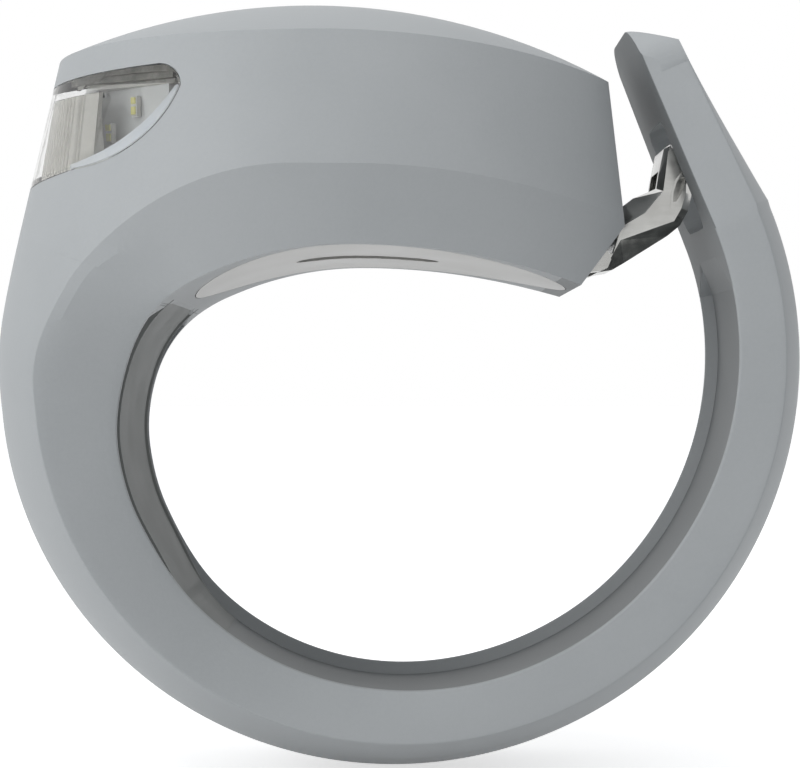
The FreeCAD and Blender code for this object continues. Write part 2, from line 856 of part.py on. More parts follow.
# Reflector: a floor and a ceiling round the board, joined by flutes at the front
reflector_inset = core_inset + size("fit_gap")
reflector_room = head_block(reflector_inset).common(
    Part.makeBox(wing_x + far, 2 * far, far, point(-far, 0, -far))
)
board_block = lamp_strip(-size("fit_gap"), 6, 5, 25)
wall = size("reflector_wall")
tray = reflector_room.common(Part.makeBox(2 * far, 2 * far, far, point(-far, board_low - wall, -far)))
tray = tray.common(Part.makeBox(2 * far, 2 * far, board_high + wall, point(-far, 0, -far)))
hollow_block = Part.makeBox(2 * far, 2 * far, board_high - board_low, point(-far, board_low, -far))
tray = tray.cut(board_block)
shelves = tray.cut(hollow_block)
flutes = []
flute_count = int(2 * front_half / size("flute_pitch"))
for index in range(flute_count + 1):
    flute_y = (index - flute_count / 2) * size("flute_pitch")
    beside_lamp = abs(abs(flute_y) - size("lamp_place")) < lamp_side / 2 + 0.1
    behind_pipe = abs(flute_y) < size("pipe_radius")
    if beside_lamp or behind_pipe:
        continue
    face_x = board_front - size("fit_gap")
    corners = [
        Vector(face_x, flute_y - size("flute_half_width"), board_low - wall / 2),
        Vector(face_x - size("flute_depth"), flute_y, board_low - wall / 2),
        Vector(face_x, flute_y + size("flute_half_width"), board_low - wall / 2),
    ]
    flutes.append(Part.Face(polygon(corners)).extrude(Vector(0, 0, board_high - board_low + wall)))
reflector = shelves.fuse(flutes)
add_part("reflector", single_solid(reflector))

# Clear faceted post under the reflector's ceiling
pipe_radius = size("pipe_radius")
pipe_x = board_front - size("fit_gap") - pipe_radius - size("pipe_gap")
pipe_points = [
    Vector(pipe_x + pipe_radius * cos(radians(60 * k)), pipe_radius * sin(radians(60 * k)), board_high)
    for k in range(6)
]
pipe = Part.Face(polygon(pipe_points)).extrude(Vector(0, 0, -size("pipe_height")))
add_part("light_pipe", pipe)


# Bodies with sketches, whose points are bound to the sizes


def new_body(name, x=0.0, y=0.0, z=0.0):
    body = doc.addObject("PartDesign::Body", name)
    body.Label = name
    body.Placement = Placement(Vector(x, y, z), Rotation())
    return body


def new_sketch(body, name, role):
    plane = [item for item in body.Origin.OriginFeatures if item.Role == role][0]
    sketch = body.newObject("Sketcher::SketchObject", name)
    sketch.AttachmentSupport = [(plane, "")]
    sketch.MapMode = "FlatFace"
    return sketch


def bound_outline(sketch, places):
    """Closed outline; each place is a pair of expressions for its two coordinates."""
    count = len(places)
    first = sketch.GeometryCount
    turns = [2 * pi * index / count for index in range(count + 1)]
    corners = [Vector(cos(turn), sin(turn), 0) for turn in turns]
    for start, end in zip(corners, corners[1:]):
        sketch.addGeometry(Part.LineSegment(start, end), False)
    for index in range(count):
        following = first + (index + 1) % count
        sketch.addConstraint(Sketcher.Constraint("Coincident", first + index, 2, following, 1))
    for index, (across_text, up_text) in enumerate(places):
        for kind, text in (("DistanceX", across_text), ("DistanceY", up_text)):
            number = sketch.addConstraint(Sketcher.Constraint(kind, -1, 1, first + index, 1, 1.0))
            sketch.setExpression(f"Constraints[{number}]", text)


def bound_circle(sketch, across_text, up_text, radius_text):
    number = sketch.addGeometry(Part.Circle(Vector(1, 1, 0), Vector(0, 0, 1), 0.5), False)
    for kind, text in (("DistanceX", across_text), ("DistanceY", up_text)):
        constraint = sketch.addConstraint(Sketcher.Constraint(kind, -1, 1, number, 3, 1.0))
        sketch.setExpression(f"Constraints[{constraint}]", text)
    constraint = sketch.addConstraint(Sketcher.Constraint("Radius", number, 0.5))
    sketch.setExpression(f"Constraints[{constraint}]", radius_text)


def pad(body, sketch, length_text, middle=True, name="Pad"):
    feature = body.newObject("PartDesign::Pad", name)
    feature.Profile = sketch
    feature.setExpression("Length", length_text)
    if middle:
        feature.Midplane = True
    return feature


def turn(body, sketch, axis="V_Axis", name="Turn"):
    feature = body.newObject("PartDesign::Revolution", name)
    feature.Profile = sketch
    feature.ReferenceAxis = (sketch, [axis])
    feature.Angle = 360
    return feature


# Coin cells: a can with a stepped lid
for name, level in (("cell_lower", 0), ("cell_upper", 1)):
    cell = new_body(name)
    cell.setExpression("Placement.Base.x", "Sizes.cell_x")
    cell.setExpression(
        "Placement.Base.z",
        f"Sizes.cover_deck_height + Sizes.contact_thickness + {level} * Sizes.cell_height",
    )
    profile = new_sketch(cell, name + "_profile", "XZ_Plane")
    bound_outline(profile, [
        ("0", "0"),
        ("Sizes.cell_radius - Sizes.cell_rim", "0"),
        ("Sizes.cell_radius - Sizes.cell_rim", "Sizes.cell_lid_step"),
        ("Sizes.cell_radius", "Sizes.cell_lid_step"),
        ("Sizes.cell_radius", "Sizes.cell_height"),
        ("0", "Sizes.cell_height"),
    ])
    doc.recompute()
    turn(cell, profile)

# Contact under the cells and leaf contact above them
contact = new_body("contact_plate")
contact.setExpression("Placement.Base.x", "Sizes.cell_x")
contact.setExpression("Placement.Base.z", "Sizes.cover_deck_height")
contact_outline = new_sketch(contact, "contact_outline", "XY_Plane")
bound_outline(contact_outline, [
    ("-Sizes.contact_length / 2", "-Sizes.contact_width / 2"),
    ("Sizes.contact_length / 2", "-Sizes.contact_width / 2"),
    ("Sizes.contact_length / 2", "Sizes.contact_width / 2"),
    ("-Sizes.contact_length / 2", "Sizes.contact_width / 2"),
])
doc.recompute()
pad(contact, contact_outline, "Sizes.contact_thickness", middle=False)

leaf = new_body("contact_spring")
leaf.setExpression("Placement.Base.x", "Sizes.cell_x")
leaf.setExpression(
    "Placement.Base.z",
    "Sizes.cover_deck_height + Sizes.contact_thickness + 2 * Sizes.cell_height",
)
leaf_profile = new_sketch(leaf, "leaf_profile", "XZ_Plane")
bound_outline(leaf_profile, [
    ("-Sizes.leaf_length / 2", "Sizes.leaf_height - Sizes.leaf_sheet"),
    ("-Sizes.leaf_length / 6", "Sizes.leaf_height - Sizes.leaf_sheet"),
    ("Sizes.leaf_length / 4", "0"),
    ("Sizes.leaf_length / 2", "Sizes.leaf_sheet"),
    ("Sizes.leaf_length / 2", "2 * Sizes.leaf_sheet"),
    ("Sizes.leaf_length / 4", "Sizes.leaf_sheet"),
    ("-Sizes.leaf_length / 6", "Sizes.leaf_height"),
    ("-Sizes.leaf_length / 2", "Sizes.leaf_height"),
])
doc.recompute()
pad(leaf, leaf_profile, "Sizes.leaf_width")

# Control board with chips, switch and plunger
board_level = (
    "Sizes.cover_deck_height + Sizes.contact_thickness + 2 * Sizes.cell_height + Sizes.leaf_height"
)
board = new_body("main_board")
board.setExpression("Placement.Base.x", "Sizes.board_x")
board.setExpression("Placement.Base.z", board_level)
board_outline = new_sketch(board, "board_outline", "XY_Plane")
bound_outline(board_outline, [
    ("-Sizes.board_length / 2", "-Sizes.board_width / 2 + 1"),
    ("-Sizes.board_length / 2 + 1", "-Sizes.board_width / 2"),
    ("Sizes.board_length / 2 - 1", "-Sizes.board_width / 2"),
    ("Sizes.board_length / 2", "-Sizes.board_width / 2 + 1"),
    ("Sizes.board_length / 2", "Sizes.board_width / 2 - 1"),
    ("Sizes.board_length / 2 - 1", "Sizes.board_width / 2"),
    ("-Sizes.board_length / 2 + 1", "Sizes.board_width / 2"),
    ("-Sizes.board_length / 2", "Sizes.board_width / 2 - 1"),
])
for post_x, post_y in post_places:
    bound_circle(board_outline, f"{post_x - size('board_x'):.2f}", f"{post_y:.2f}", "Sizes.screw_radius")
doc.recompute()
pad(board, board_outline, "Sizes.board_thickness", middle=False)

chip_places = [(-4.2, 0.0, 1.0), (4.4, 2.6, 0.6), (4.4, -1.8, 0.75), (1.2, 4.3, 0.4), (1.2, -4.3, 0.4)]
chips = []
for chip_x, chip_y, scale in chip_places:
    side_length = size("chip_side") * scale
    chip = Part.makeBox(side_length, side_length, size("chip_height") * sqrt(scale))
    chip.translate(Vector(size("board_x") + chip_x - side_length / 2, chip_y - side_length / 2, board_top))
    chips.append(chip)
add_part("board_chips", Part.makeCompound(chips))

switch = new_body("tact_switch")
switch.setExpression("Placement.Base.x", "Sizes.crown_x")
switch.setExpression("Placement.Base.z", board_level + " + Sizes.board_thickness")
switch_outline = new_sketch(switch, "switch_outline", "XY_Plane")
bound_outline(switch_outline, [
    ("-Sizes.switch_side / 2", "-Sizes.switch_side / 2"),
    ("Sizes.switch_side / 2", "-Sizes.switch_side / 2"),
    ("Sizes.switch_side / 2", "Sizes.switch_side / 2"),
    ("-Sizes.switch_side / 2", "Sizes.switch_side / 2"),
])
doc.recompute()
switch_block = pad(switch, switch_outline, "Sizes.switch_height", middle=False)
doc.recompute()
upper_edges = []
for number, edge in enumerate(switch_block.Shape.Edges, start=1):
    if edge.CenterOfMass.z > size("switch_height") - 0.01:
        upper_edges.append(f"Edge{number}")
bevel = switch.newObject("PartDesign::Chamfer", "switch_bevel")
bevel.Base = (switch_block, upper_edges)
bevel.Size = 0.2

plunger = new_body("button_plunger")
plunger.setExpression("Placement.Base.x", "Sizes.crown_x")
plunger.setExpression(
    "Placement.Base.z",
    "Sizes.crown_height - Sizes.skin_wall - Sizes.fit_gap - Sizes.slide_gap"
    " - Sizes.plunger_head_height - Sizes.stem_length",
)
plunger_profile = new_sketch(plunger, "plunger_profile", "XZ_Plane")
bound_outline(plunger_profile, [
    ("0", "0"),
    ("Sizes.plunger_radius", "0"),
    ("Sizes.plunger_radius", "Sizes.stem_length"),
    ("Sizes.plunger_head_radius", "Sizes.stem_length"),
    ("Sizes.plunger_head_radius", "Sizes.stem_length + Sizes.plunger_head_height - 0.2"),
    ("Sizes.plunger_head_radius - 0.3", "Sizes.stem_length + Sizes.plunger_head_height"),
    ("0", "Sizes.stem_length + Sizes.plunger_head_height"),
])
doc.recompute()
turn(plunger, plunger_profile)


def screw(length, radius, head_radius, head_height):
    """Pan-head screw standing along +Z with the underside of its head at zero, shank downwards."""
    return facets(radius, -length, 0).fuse(facets(head_radius, 0, head_height))


board_screws = []
for post_x, post_y in post_places:
    one = screw(
        size("board_screw_length"), size("screw_radius") - 0.02,
        size("screw_head_radius"), size("screw_head_height") - 0.1,
    )
    one.Placement = Placement(
        Vector(post_x, post_y, board_floor), Rotation(Vector(1, 0, 0), 180)
    )
    board_screws.append(one)

add_part("board_screws", Part.makeCompound(board_screws))

# Pins that join the lamp board to the control board
leads = []
lead_side = size("lead_side")
lead_reach = size("board_x") - size("board_length") / 2 - board_front - size("lamp_board_thickness")
lead_height = board_high - 0.35
for lead_y in (-size("lead_pitch"), 0, size("lead_pitch")):
    lead = Part.makeBox(lead_reach - 0.1, lead_side, lead_side)
    lead.translate(Vector(
        board_front + size("lamp_board_thickness"), lead_y - lead_side / 2, lead_height - lead_side / 2
    ))
    leads.append(lead)
add_part("led_leads", Part.makeCompound(leads))

# Bracket with two lugs that carry the hook's pin
bracket = new_body("clasp_bracket")
bracket.setExpression("Placement.Base.x", "Sizes.pin_x")
bracket.setExpression("Placement.Base.z", "Sizes.pin_z")
plate_back = "-Sizes.barrel_radius - Sizes.hook_room - Sizes.bracket_plate"
plate_front = "-Sizes.barrel_radius - Sizes.hook_room"
plate_top = "Sizes.recess_top - Sizes.pin_z - 0.15"
lug_profile = new_sketch(bracket, "lug_profile", "XZ_Plane")
bound_outline(lug_profile, [
    (plate_back, "-0.9"),
    ("0", "-Sizes.pin_radius - 0.3"),
    ("0.46", "-0.46"),
    ("Sizes.pin_radius + 0.3", "0"),
    ("0.46", "0.46"),
    ("-0.5", "1.5"),
    (plate_front, "2.6"),
    (plate_front, plate_top),
    (plate_back, plate_top),
])
doc.recompute()
lug_pad = pad(
    bracket, lug_profile, "Sizes.clasp_width + 2 * Sizes.lug_gap + 2 * Sizes.lug_thickness"
)
mouth_profile = new_sketch(bracket, "mouth_profile", "XZ_Plane")
bound_outline(mouth_profile, [
    (plate_front, "-3"), ("3", "-3"), ("3", "6"), (plate_front, "6"),
])
doc.recompute()
mouth = bracket.newObject("PartDesign::Pocket", "mouth")
mouth.Profile = mouth_profile
mouth.Midplane = True
mouth.setExpression("Length", "Sizes.clasp_width + 2 * Sizes.lug_gap")
pin_hole_profile = new_sketch(bracket, "pin_hole_profile", "XZ_Plane")
bound_circle(pin_hole_profile, "0", "0", "Sizes.pin_radius")
doc.recompute()
pin_hole = bracket.newObject("PartDesign::Pocket", "pin_hole")
pin_hole.Profile = pin_hole_profile
pin_hole.Midplane = True
pin_hole.Length = 20
screw_holes_profile = new_sketch(bracket, "screw_holes_profile", "YZ_Plane")
for across_text in ("-Sizes.bracket_screw_place", "Sizes.bracket_screw_place"):
    bound_circle(screw_holes_profile, across_text, "Sizes.bracket_screw_rise", "Sizes.screw_radius")
doc.recompute()
screw_holes = bracket.newObject("PartDesign::Pocket", "screw_holes")
screw_holes.Profile = screw_holes_profile
screw_holes.Midplane = True
screw_holes.Length = 20

bracket_screws = []
for side in (-1, 1):
    one = screw(
        size("bracket_screw_length"), size("screw_radius") - 0.02,
        size("screw_head_radius"), size("screw_head_height"),
    )
    one.Placement = Placement(
        Vector(
            recess_floor_x, side * size("bracket_screw_place"),
            size("pin_z") + size("bracket_screw_rise"),
        ),
        Rotation(Vector(0, 1, 0), 90),
    )
    bracket_screws.append(one)
add_part("bracket_screws", Part.makeCompound(bracket_screws))

# Pin of the hook
pin = new_body("clasp_pin")
pin.setExpression("Placement.Base.x", "Sizes.pin_x")
pin.setExpression("Placement.Base.z", "Sizes.pin_z")
pin_profile = new_sketch(pin, "pin_profile", "XZ_Plane")
bound_circle(pin_profile, "0", "0", "Sizes.pin_radius")
doc.recompute()
pad(pin, pin_profile, "Sizes.clasp_width + 2 * Sizes.lug_gap + 2 * Sizes.lug_thickness")

# Hook: a bent channel with an arm, an elbow and a pointed tooth, hung on the pin
clasp = new_body("clasp")
clasp.setExpression("Placement.Base.x", "Sizes.pin_x")
clasp.setExpression("Placement.Base.z", "Sizes.pin_z")
hook_outline = [
    (0.0, -0.65), (0.85, -0.5), (1.5, -0.12), (3.9, 1.38), (4.6, 1.95), (5.05, 2.75), (5.25, 3.65),
    (5.25, 4.6), (5.0, 5.35), (4.6, 5.8), (3.9, 6.39), (3.55, 6.1), (3.3, 4.75), (3.15, 4.0),
    (2.0, 3.45), (1.35, 2.95), (1.1, 1.0), (0.85, 0.45), (0.45, 0.45), (0.0, 0.3),
]
hook_profile = new_sketch(clasp, "hook_profile", "XZ_Plane")
bound_outline(hook_profile, [(f"{x}", f"{z}") for x, z in hook_outline])
doc.recompute()
hook_pad = pad(clasp, hook_profile, "Sizes.clasp_width")
barrel_profile = new_sketch(clasp, "barrel_profile", "XZ_Plane")
bound_circle(barrel_profile, "0", "0", "Sizes.barrel_radius")
doc.recompute()
barrel_pad = pad(clasp, barrel_profile, "Sizes.clasp_width", name="barrel_pad")
inside = [
    (1.9, 1.0), (3.5, 2.1), (4.05, 2.65), (4.35, 3.3), (4.45, 4.1), (4.2, 4.9), (3.4, 5.0),
    (2.6, 5.0), (0.4, 3.6), (0.4, 1.4),
]
inside_profile = new_sketch(clasp, "inside_profile", "XZ_Plane")
bound_outline(inside_profile, [(f"{x}", f"{z}") for x, z in inside])
doc.recompute()
hollow_pocket = clasp.newObject("PartDesign::Pocket", "hollow_pocket")
hollow_pocket.Profile = inside_profile
hollow_pocket.Midplane = True
hollow_pocket.setExpression("Length", "Sizes.clasp_width - 2 * Sizes.clasp_wall")
bore_profile = new_sketch(clasp, "bore_profile", "XZ_Plane")
bound_circle(bore_profile, "0", "0", "Sizes.pin_radius + Sizes.pin_fit")
doc.recompute()
bore = clasp.newObject("PartDesign::Pocket", "bore")
bore.Profile = bore_profile
bore.Midplane = True
bore.Length = 20
eye_profile = new_sketch(clasp, "eye_profile", "XZ_Plane")
eye = [(4.1, 3.3), (4.35, 3.25), (4.7, 3.7), (4.95, 4.35), (4.85, 4.5), (4.65, 4.45), (4.25, 3.9)]
bound_outline(eye_profile, [(f"{x}", f"{z}") for x, z in eye])
doc.recompute()
eye_pocket = clasp.newObject("PartDesign::Pocket", "eye_pocket")
eye_pocket.Profile = eye_profile
eye_pocket.Midplane = True
eye_pocket.Length = 20

doc.recompute()
failed = [item.Label for item in doc.Objects if {"Invalid", "Error"} & set(item.State)]
sub_parts = [item for item in doc.Objects if item.TypeId in ("Part::Feature", "PartDesign::Body")]
for part in sub_parts:
    if part.Shape.isNull() or not part.Shape.isValid():
        failed.append(part.Label)
if failed:
    raise RuntimeError("not built: " + ", ".join(failed))
for part in sub_parts:
    part.Shape.exportStep("parts/" + part.Label + ".step")
    print(part.Label, len(part.Shape.Solids), "solids", round(part.Shape.Volume, 2), "mm3")
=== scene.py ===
# %% [markdown]
# # A bike light on a ring strap
# This lesson dresses a finished CAD model of a small bicycle front light. The model comes in first and stays as
# it is: it says where everything sits and what turns. Every new piece is made on top of it, in metres, and all
# but the three middle lengths of the strap ride on one of its bodies, so the hook and the strap's tab still move.

# %% Load the model
import bpy
from math import asin, atan2, cos, degrees, pi, radians, sin, sqrt, tau
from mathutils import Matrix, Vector


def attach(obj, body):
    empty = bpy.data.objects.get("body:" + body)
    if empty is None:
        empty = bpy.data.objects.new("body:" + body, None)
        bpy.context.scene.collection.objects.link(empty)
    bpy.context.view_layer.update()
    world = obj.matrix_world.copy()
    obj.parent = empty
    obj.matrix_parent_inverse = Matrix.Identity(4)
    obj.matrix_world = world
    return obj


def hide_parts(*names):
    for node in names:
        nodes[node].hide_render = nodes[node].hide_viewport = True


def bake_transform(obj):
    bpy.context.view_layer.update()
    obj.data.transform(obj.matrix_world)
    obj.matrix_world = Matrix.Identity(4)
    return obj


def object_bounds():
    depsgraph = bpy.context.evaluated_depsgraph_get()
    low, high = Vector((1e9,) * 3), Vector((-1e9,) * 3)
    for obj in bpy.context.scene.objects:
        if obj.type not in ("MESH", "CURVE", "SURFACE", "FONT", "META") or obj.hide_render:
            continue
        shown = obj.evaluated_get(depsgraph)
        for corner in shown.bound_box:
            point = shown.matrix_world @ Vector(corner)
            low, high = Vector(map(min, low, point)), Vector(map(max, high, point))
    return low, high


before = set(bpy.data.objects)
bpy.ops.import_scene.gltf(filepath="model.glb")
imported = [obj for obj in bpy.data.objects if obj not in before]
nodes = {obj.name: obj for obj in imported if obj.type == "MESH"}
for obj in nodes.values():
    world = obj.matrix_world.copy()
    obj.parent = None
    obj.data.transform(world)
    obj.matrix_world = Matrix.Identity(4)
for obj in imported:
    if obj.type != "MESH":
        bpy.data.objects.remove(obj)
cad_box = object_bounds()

mm = 0.001
print("loaded", len(nodes), "CAD nodes")
print("their box is", [[round(v / mm, 1) for v in corner] for corner in cad_box], "mm")

# %% [markdown]
# ## The camera
# The picture was taken along the bar, from the light's left side, so the ring shows as a true circle. A
# long lens 128 mm away gives the same slight perspective: the near edge of the strap looks a little
# larger than its middle.

# %% Place the camera
view_distance, view_x, view_z = 128, -1.576, -0.056

camera_data = bpy.data.cameras.new("camera")
camera_data.sensor_width = 36
camera_data.lens = 102.3
camera_data.clip_start = 0.001
camera_data.clip_end = 20
camera = bpy.data.objects.new("camera", camera_data)
camera.location = (view_x * mm, -view_distance * mm, view_z * mm)
camera.rotation_euler = (radians(90), 0, 0)
bpy.context.scene.collection.objects.link(camera)
bpy.context.scene.camera = camera
bpy.context.scene.view_settings.view_transform = "Standard"
print("camera at", [round(v / mm, 1) for v in camera.location], "mm")

# %% [markdown]
# ## The studio
# Product pictures like this one are lit by large soft panels in a white room. The world is a soft grey
# light for the object, and plain white for the camera, for reflections and for what is seen through
# glass. Light Path tells these apart, by the kind of ray that arrives.

# %% Light the object
def link(tree, source, target):
    tree.links.new(source, target)


def seen_plainly(tree):
    """1 for what is seen straight, in a reflection or through glass, and 0 for light that falls on things."""
    rays = tree.nodes.new("ShaderNodeLightPath")
    mask = rays.outputs["Is Camera Ray"]
    for kind in ("Is Glossy Ray", "Is Transmission Ray"):
        either = tree.nodes.new("ShaderNodeMath")
        either.operation = "MAXIMUM"
        link(tree, mask, either.inputs[0])
        link(tree, rays.outputs[kind], either.inputs[1])
        mask = either.outputs[0]
    return mask


def lamp(name, place, aim, size, power):
    """A round soft panel at a place in millimetres, turned towards its aim."""
    light = bpy.data.lights.new(name, "AREA")
    light.shape = "DISK"
    light.size = size * mm
    light.energy = power
    thing = bpy.data.objects.new(name, light)
    thing.location = Vector(place) * mm
    thing.rotation_euler = (Vector(aim) * mm - thing.location).to_track_quat("-Z", "Y").to_euler()
    bpy.context.scene.collection.objects.link(thing)


world = bpy.data.worlds.new("studio")
bpy.context.scene.world = world
world.use_nodes = True
tree = world.node_tree
tree.nodes.clear()
output = tree.nodes.new("ShaderNodeOutputWorld")
background = tree.nodes.new("ShaderNodeBackground")
shade = tree.nodes.new("ShaderNodeMix")
shade.data_type = "RGBA"
shade.inputs["A"].default_value = (0.52, 0.53, 0.54, 1)
shade.inputs["B"].default_value = (1, 1, 1, 1)
link(tree, seen_plainly(tree), shade.inputs["Factor"])
link(tree, shade.outputs["Result"], background.inputs["Color"])
link(tree, background.outputs["Background"], output.inputs["Surface"])
lamp("key_lamp", (-60, -60, 190), (-3, 0, 5), 160, 0.20)
lamp("side_lamp", (-150, -120, 40), (-5, 0, -5), 120, 0.10)
print("two lamps and a soft world")

# %% [markdown]
# ## The floor
# A wide sheet of pale paper takes the object's shadow. It glows a little, only for the camera and in
# reflections, so that it runs into the white background without an edge.

# %% Lay the floor
floor_height = cad_box[0][2]
paper_glow = 0.62

bpy.ops.mesh.primitive_plane_add(size=4, location=(0, 0, floor_height))
floor = bpy.context.object
floor.name = "floor"
paper = bpy.data.materials.new("studio_paper")
paper.use_nodes = True
tree = paper.node_tree
shader = tree.nodes["Principled BSDF"]
shader.inputs["Base Color"].default_value = (0.86, 0.86, 0.86, 1)
shader.inputs["Roughness"].default_value = 0.9
shader.inputs["Specular IOR Level"].default_value = 0.1
shader.inputs["Emission Color"].default_value = (1, 1, 1, 1)
lift = tree.nodes.new("ShaderNodeMath")
lift.operation = "MULTIPLY"
lift.inputs[1].default_value = paper_glow
link(tree, seen_plainly(tree), lift.inputs[0])
link(tree, lift.outputs[0], shader.inputs["Emission Strength"])
floor.data.materials.append(paper)
print("floor at", round(floor_height / mm, 2), "mm")

# %% [markdown]
# ## A few hand tools
# Most forms of this light are walls that follow rings: egg-shaped loops round the head, and the same
# section carried round the strap. A grid primitive has its points in rows, so one helper lays each row
# along a ring, closes the seam and caps the two ends. Other helpers choose pieces, and cut or join them.
#
# A boolean works to a fixed fineness, which is too coarse for a light of 45 mm measured in metres. Every
# piece is therefore modelled a thousand times too large, one unit to the millimetre, and is brought down
# to its real size when it is done.

# %% Helpers for places
def at(x, z, y=0.0):
    return Vector((x, y, z))


def outward(angle):
    return Vector((cos(radians(angle)), 0, sin(radians(angle))))


def heading(centre, place):
    return degrees(atan2(place.z - centre.z, place.x - centre.x))


def mix(low, high, share):
    return low + (high - low) * share


def shares(count):
    """Even steps from 0 to 1."""
    return [step / count for step in range(count + 1)]


def progress(value, start, end):
    """How far a value has come from its start to its end, from 0 to 1."""
    return min(max((value - start) / (end - start), 0), 1)


def soft(share):
    """The same way from 0 to 1, with a gentle start and end."""
    return share * share * (3 - 2 * share)


def smooth_path(knots, value):
    """Soft steps from one known place to the next."""
    for (start, low), (end, high) in zip(knots, knots[1:]):
        if value <= end:
            return mix(low, high, soft(progress(value, start, end)))
    return knots[-1][1]


def solve(gap, low, high):
    """Where a falling value crosses zero."""
    for _ in range(40):
        middle = (low + high) / 2
        if gap(middle) > 0:
            low = middle
        else:
            high = middle
    return (low + high) / 2


across = at(0, 0, 1)


def mirrored(places):
    return [at(place.x, place.z, -place.y) for place in reversed(places)]


def arc_points(centre, radius, start, end, steps):
    return [centre + outward(mix(start, end, share)) * radius for share in shares(steps)]


def arc_through(first, middle, last, steps):
    """Points on the circle through three places."""
    a, b = middle - first, last - first
    normal = a.cross(b)
    lean = normal.cross(a) * b.length_squared + b.cross(normal) * a.length_squared
    centre = first + lean / (2 * normal.length_squared)
    angles = [heading(centre, place) for place in (first, middle, last)]
    turn = (angles[2] - angles[0]) % 360
    if not 0 < (angles[1] - angles[0]) % 360 < turn:
        turn -= 360
    return arc_points(centre, (first - centre).length, angles[0], angles[0] + turn, steps)


print("a soft way from 2 to 6 in quarters:", [mix(2, 6, soft(share)) for share in shares(4)])

# %% Helpers for pieces
def choose(*pieces):
    """Select pieces and make the first one active."""
    bpy.ops.object.select_all(action="DESELECT")
    for piece in pieces:
        piece.select_set(True)
    bpy.context.view_layer.objects.active = pieces[0]


def ring_body(name, rings):
    """A closed body through rows of points in millimetres, with flat caps on its two ends."""
    columns = len(rings[0]) + 1
    bpy.ops.object.select_all(action="DESELECT")
    bpy.ops.mesh.primitive_grid_add(x_subdivisions=columns - 1, y_subdivisions=len(rings) - 1, size=1)
    piece = bpy.context.object
    piece.name = name
    places = []
    for ring in rings:
        for place in list(ring) + [ring[0]]:
            places += list(place)
    piece.data.vertices.foreach_set("co", places)
    bpy.ops.object.mode_set(mode="EDIT")
    bpy.ops.mesh.select_all(action="SELECT")
    bpy.ops.mesh.remove_doubles(threshold=0.0005)
    bpy.ops.mesh.select_all(action="DESELECT")
    bpy.ops.mesh.select_non_manifold()
    bpy.ops.mesh.fill_holes(sides=0)
    bpy.ops.mesh.select_all(action="SELECT")
    bpy.ops.mesh.normals_make_consistent(inside=False)
    bpy.ops.mesh.quads_convert_to_tris(quad_method="FIXED", ngon_method="BEAUTY")
    bpy.ops.object.mode_set(mode="OBJECT")
    return piece


def prism(name, outline, half_width):
    """An outline seen from the side, carried across the light from one side to the other."""
    return ring_body(name, [[at(place.x, place.z, side * half_width) for place in outline] for side in (-1, 1)])


def slab(name, loop, low, high):
    """A flat loop of (x, y) carried up from one height to another."""
    return ring_body(name, [[at(x, z, y) for x, y in loop] for z in (low, high)])


def combine(piece, other, operation):
    """Boolean with another piece, which is used up."""
    modifier = piece.modifiers.new("combine", "BOOLEAN")
    modifier.operation = operation
    modifier.solver = "EXACT"
    modifier.object = other
    choose(piece)
    bpy.ops.object.modifier_apply(modifier=modifier.name)
    bpy.data.objects.remove(other, do_unlink=True)
    return piece


def to_real_size(piece):
    """From one unit to the millimetre down to metres, with the scale put into the mesh."""
    choose(piece)
    piece.scale = (mm, mm, mm)
    bpy.ops.object.transform_apply(location=True, rotation=True, scale=True)


print("helpers ready")

# %% [markdown]
# ## Surfaces
# Nothing on a real object is one flat colour. Two node groups put the unevenness into every surface here:
# one gives moulded plastic and rubber a fine grain, soft clouds in the colour and a roughness that wanders,
# the other gives metal short drawn lines. Each reads the object's own coordinates, so the grain stays on
# the piece when it moves, and each puts out only a colour, a roughness and a height for the bump.

# %% Node groups for the surfaces
def new_group(name):
    group = bpy.data.node_groups.new(name, "ShaderNodeTree")
    for label in ("Colour", "Second Colour"):
        group.interface.new_socket(label, in_out="INPUT", socket_type="NodeSocketColor")
    for label in ("Cloud Scale", "Grain Scale", "Roughness", "Roughness Spread"):
        group.interface.new_socket(label, in_out="INPUT", socket_type="NodeSocketFloat")
    group.interface.new_socket("Colour", in_out="OUTPUT", socket_type="NodeSocketColor")
    for label in ("Roughness", "Height"):
        group.interface.new_socket(label, in_out="OUTPUT", socket_type="NodeSocketFloat")
    return group


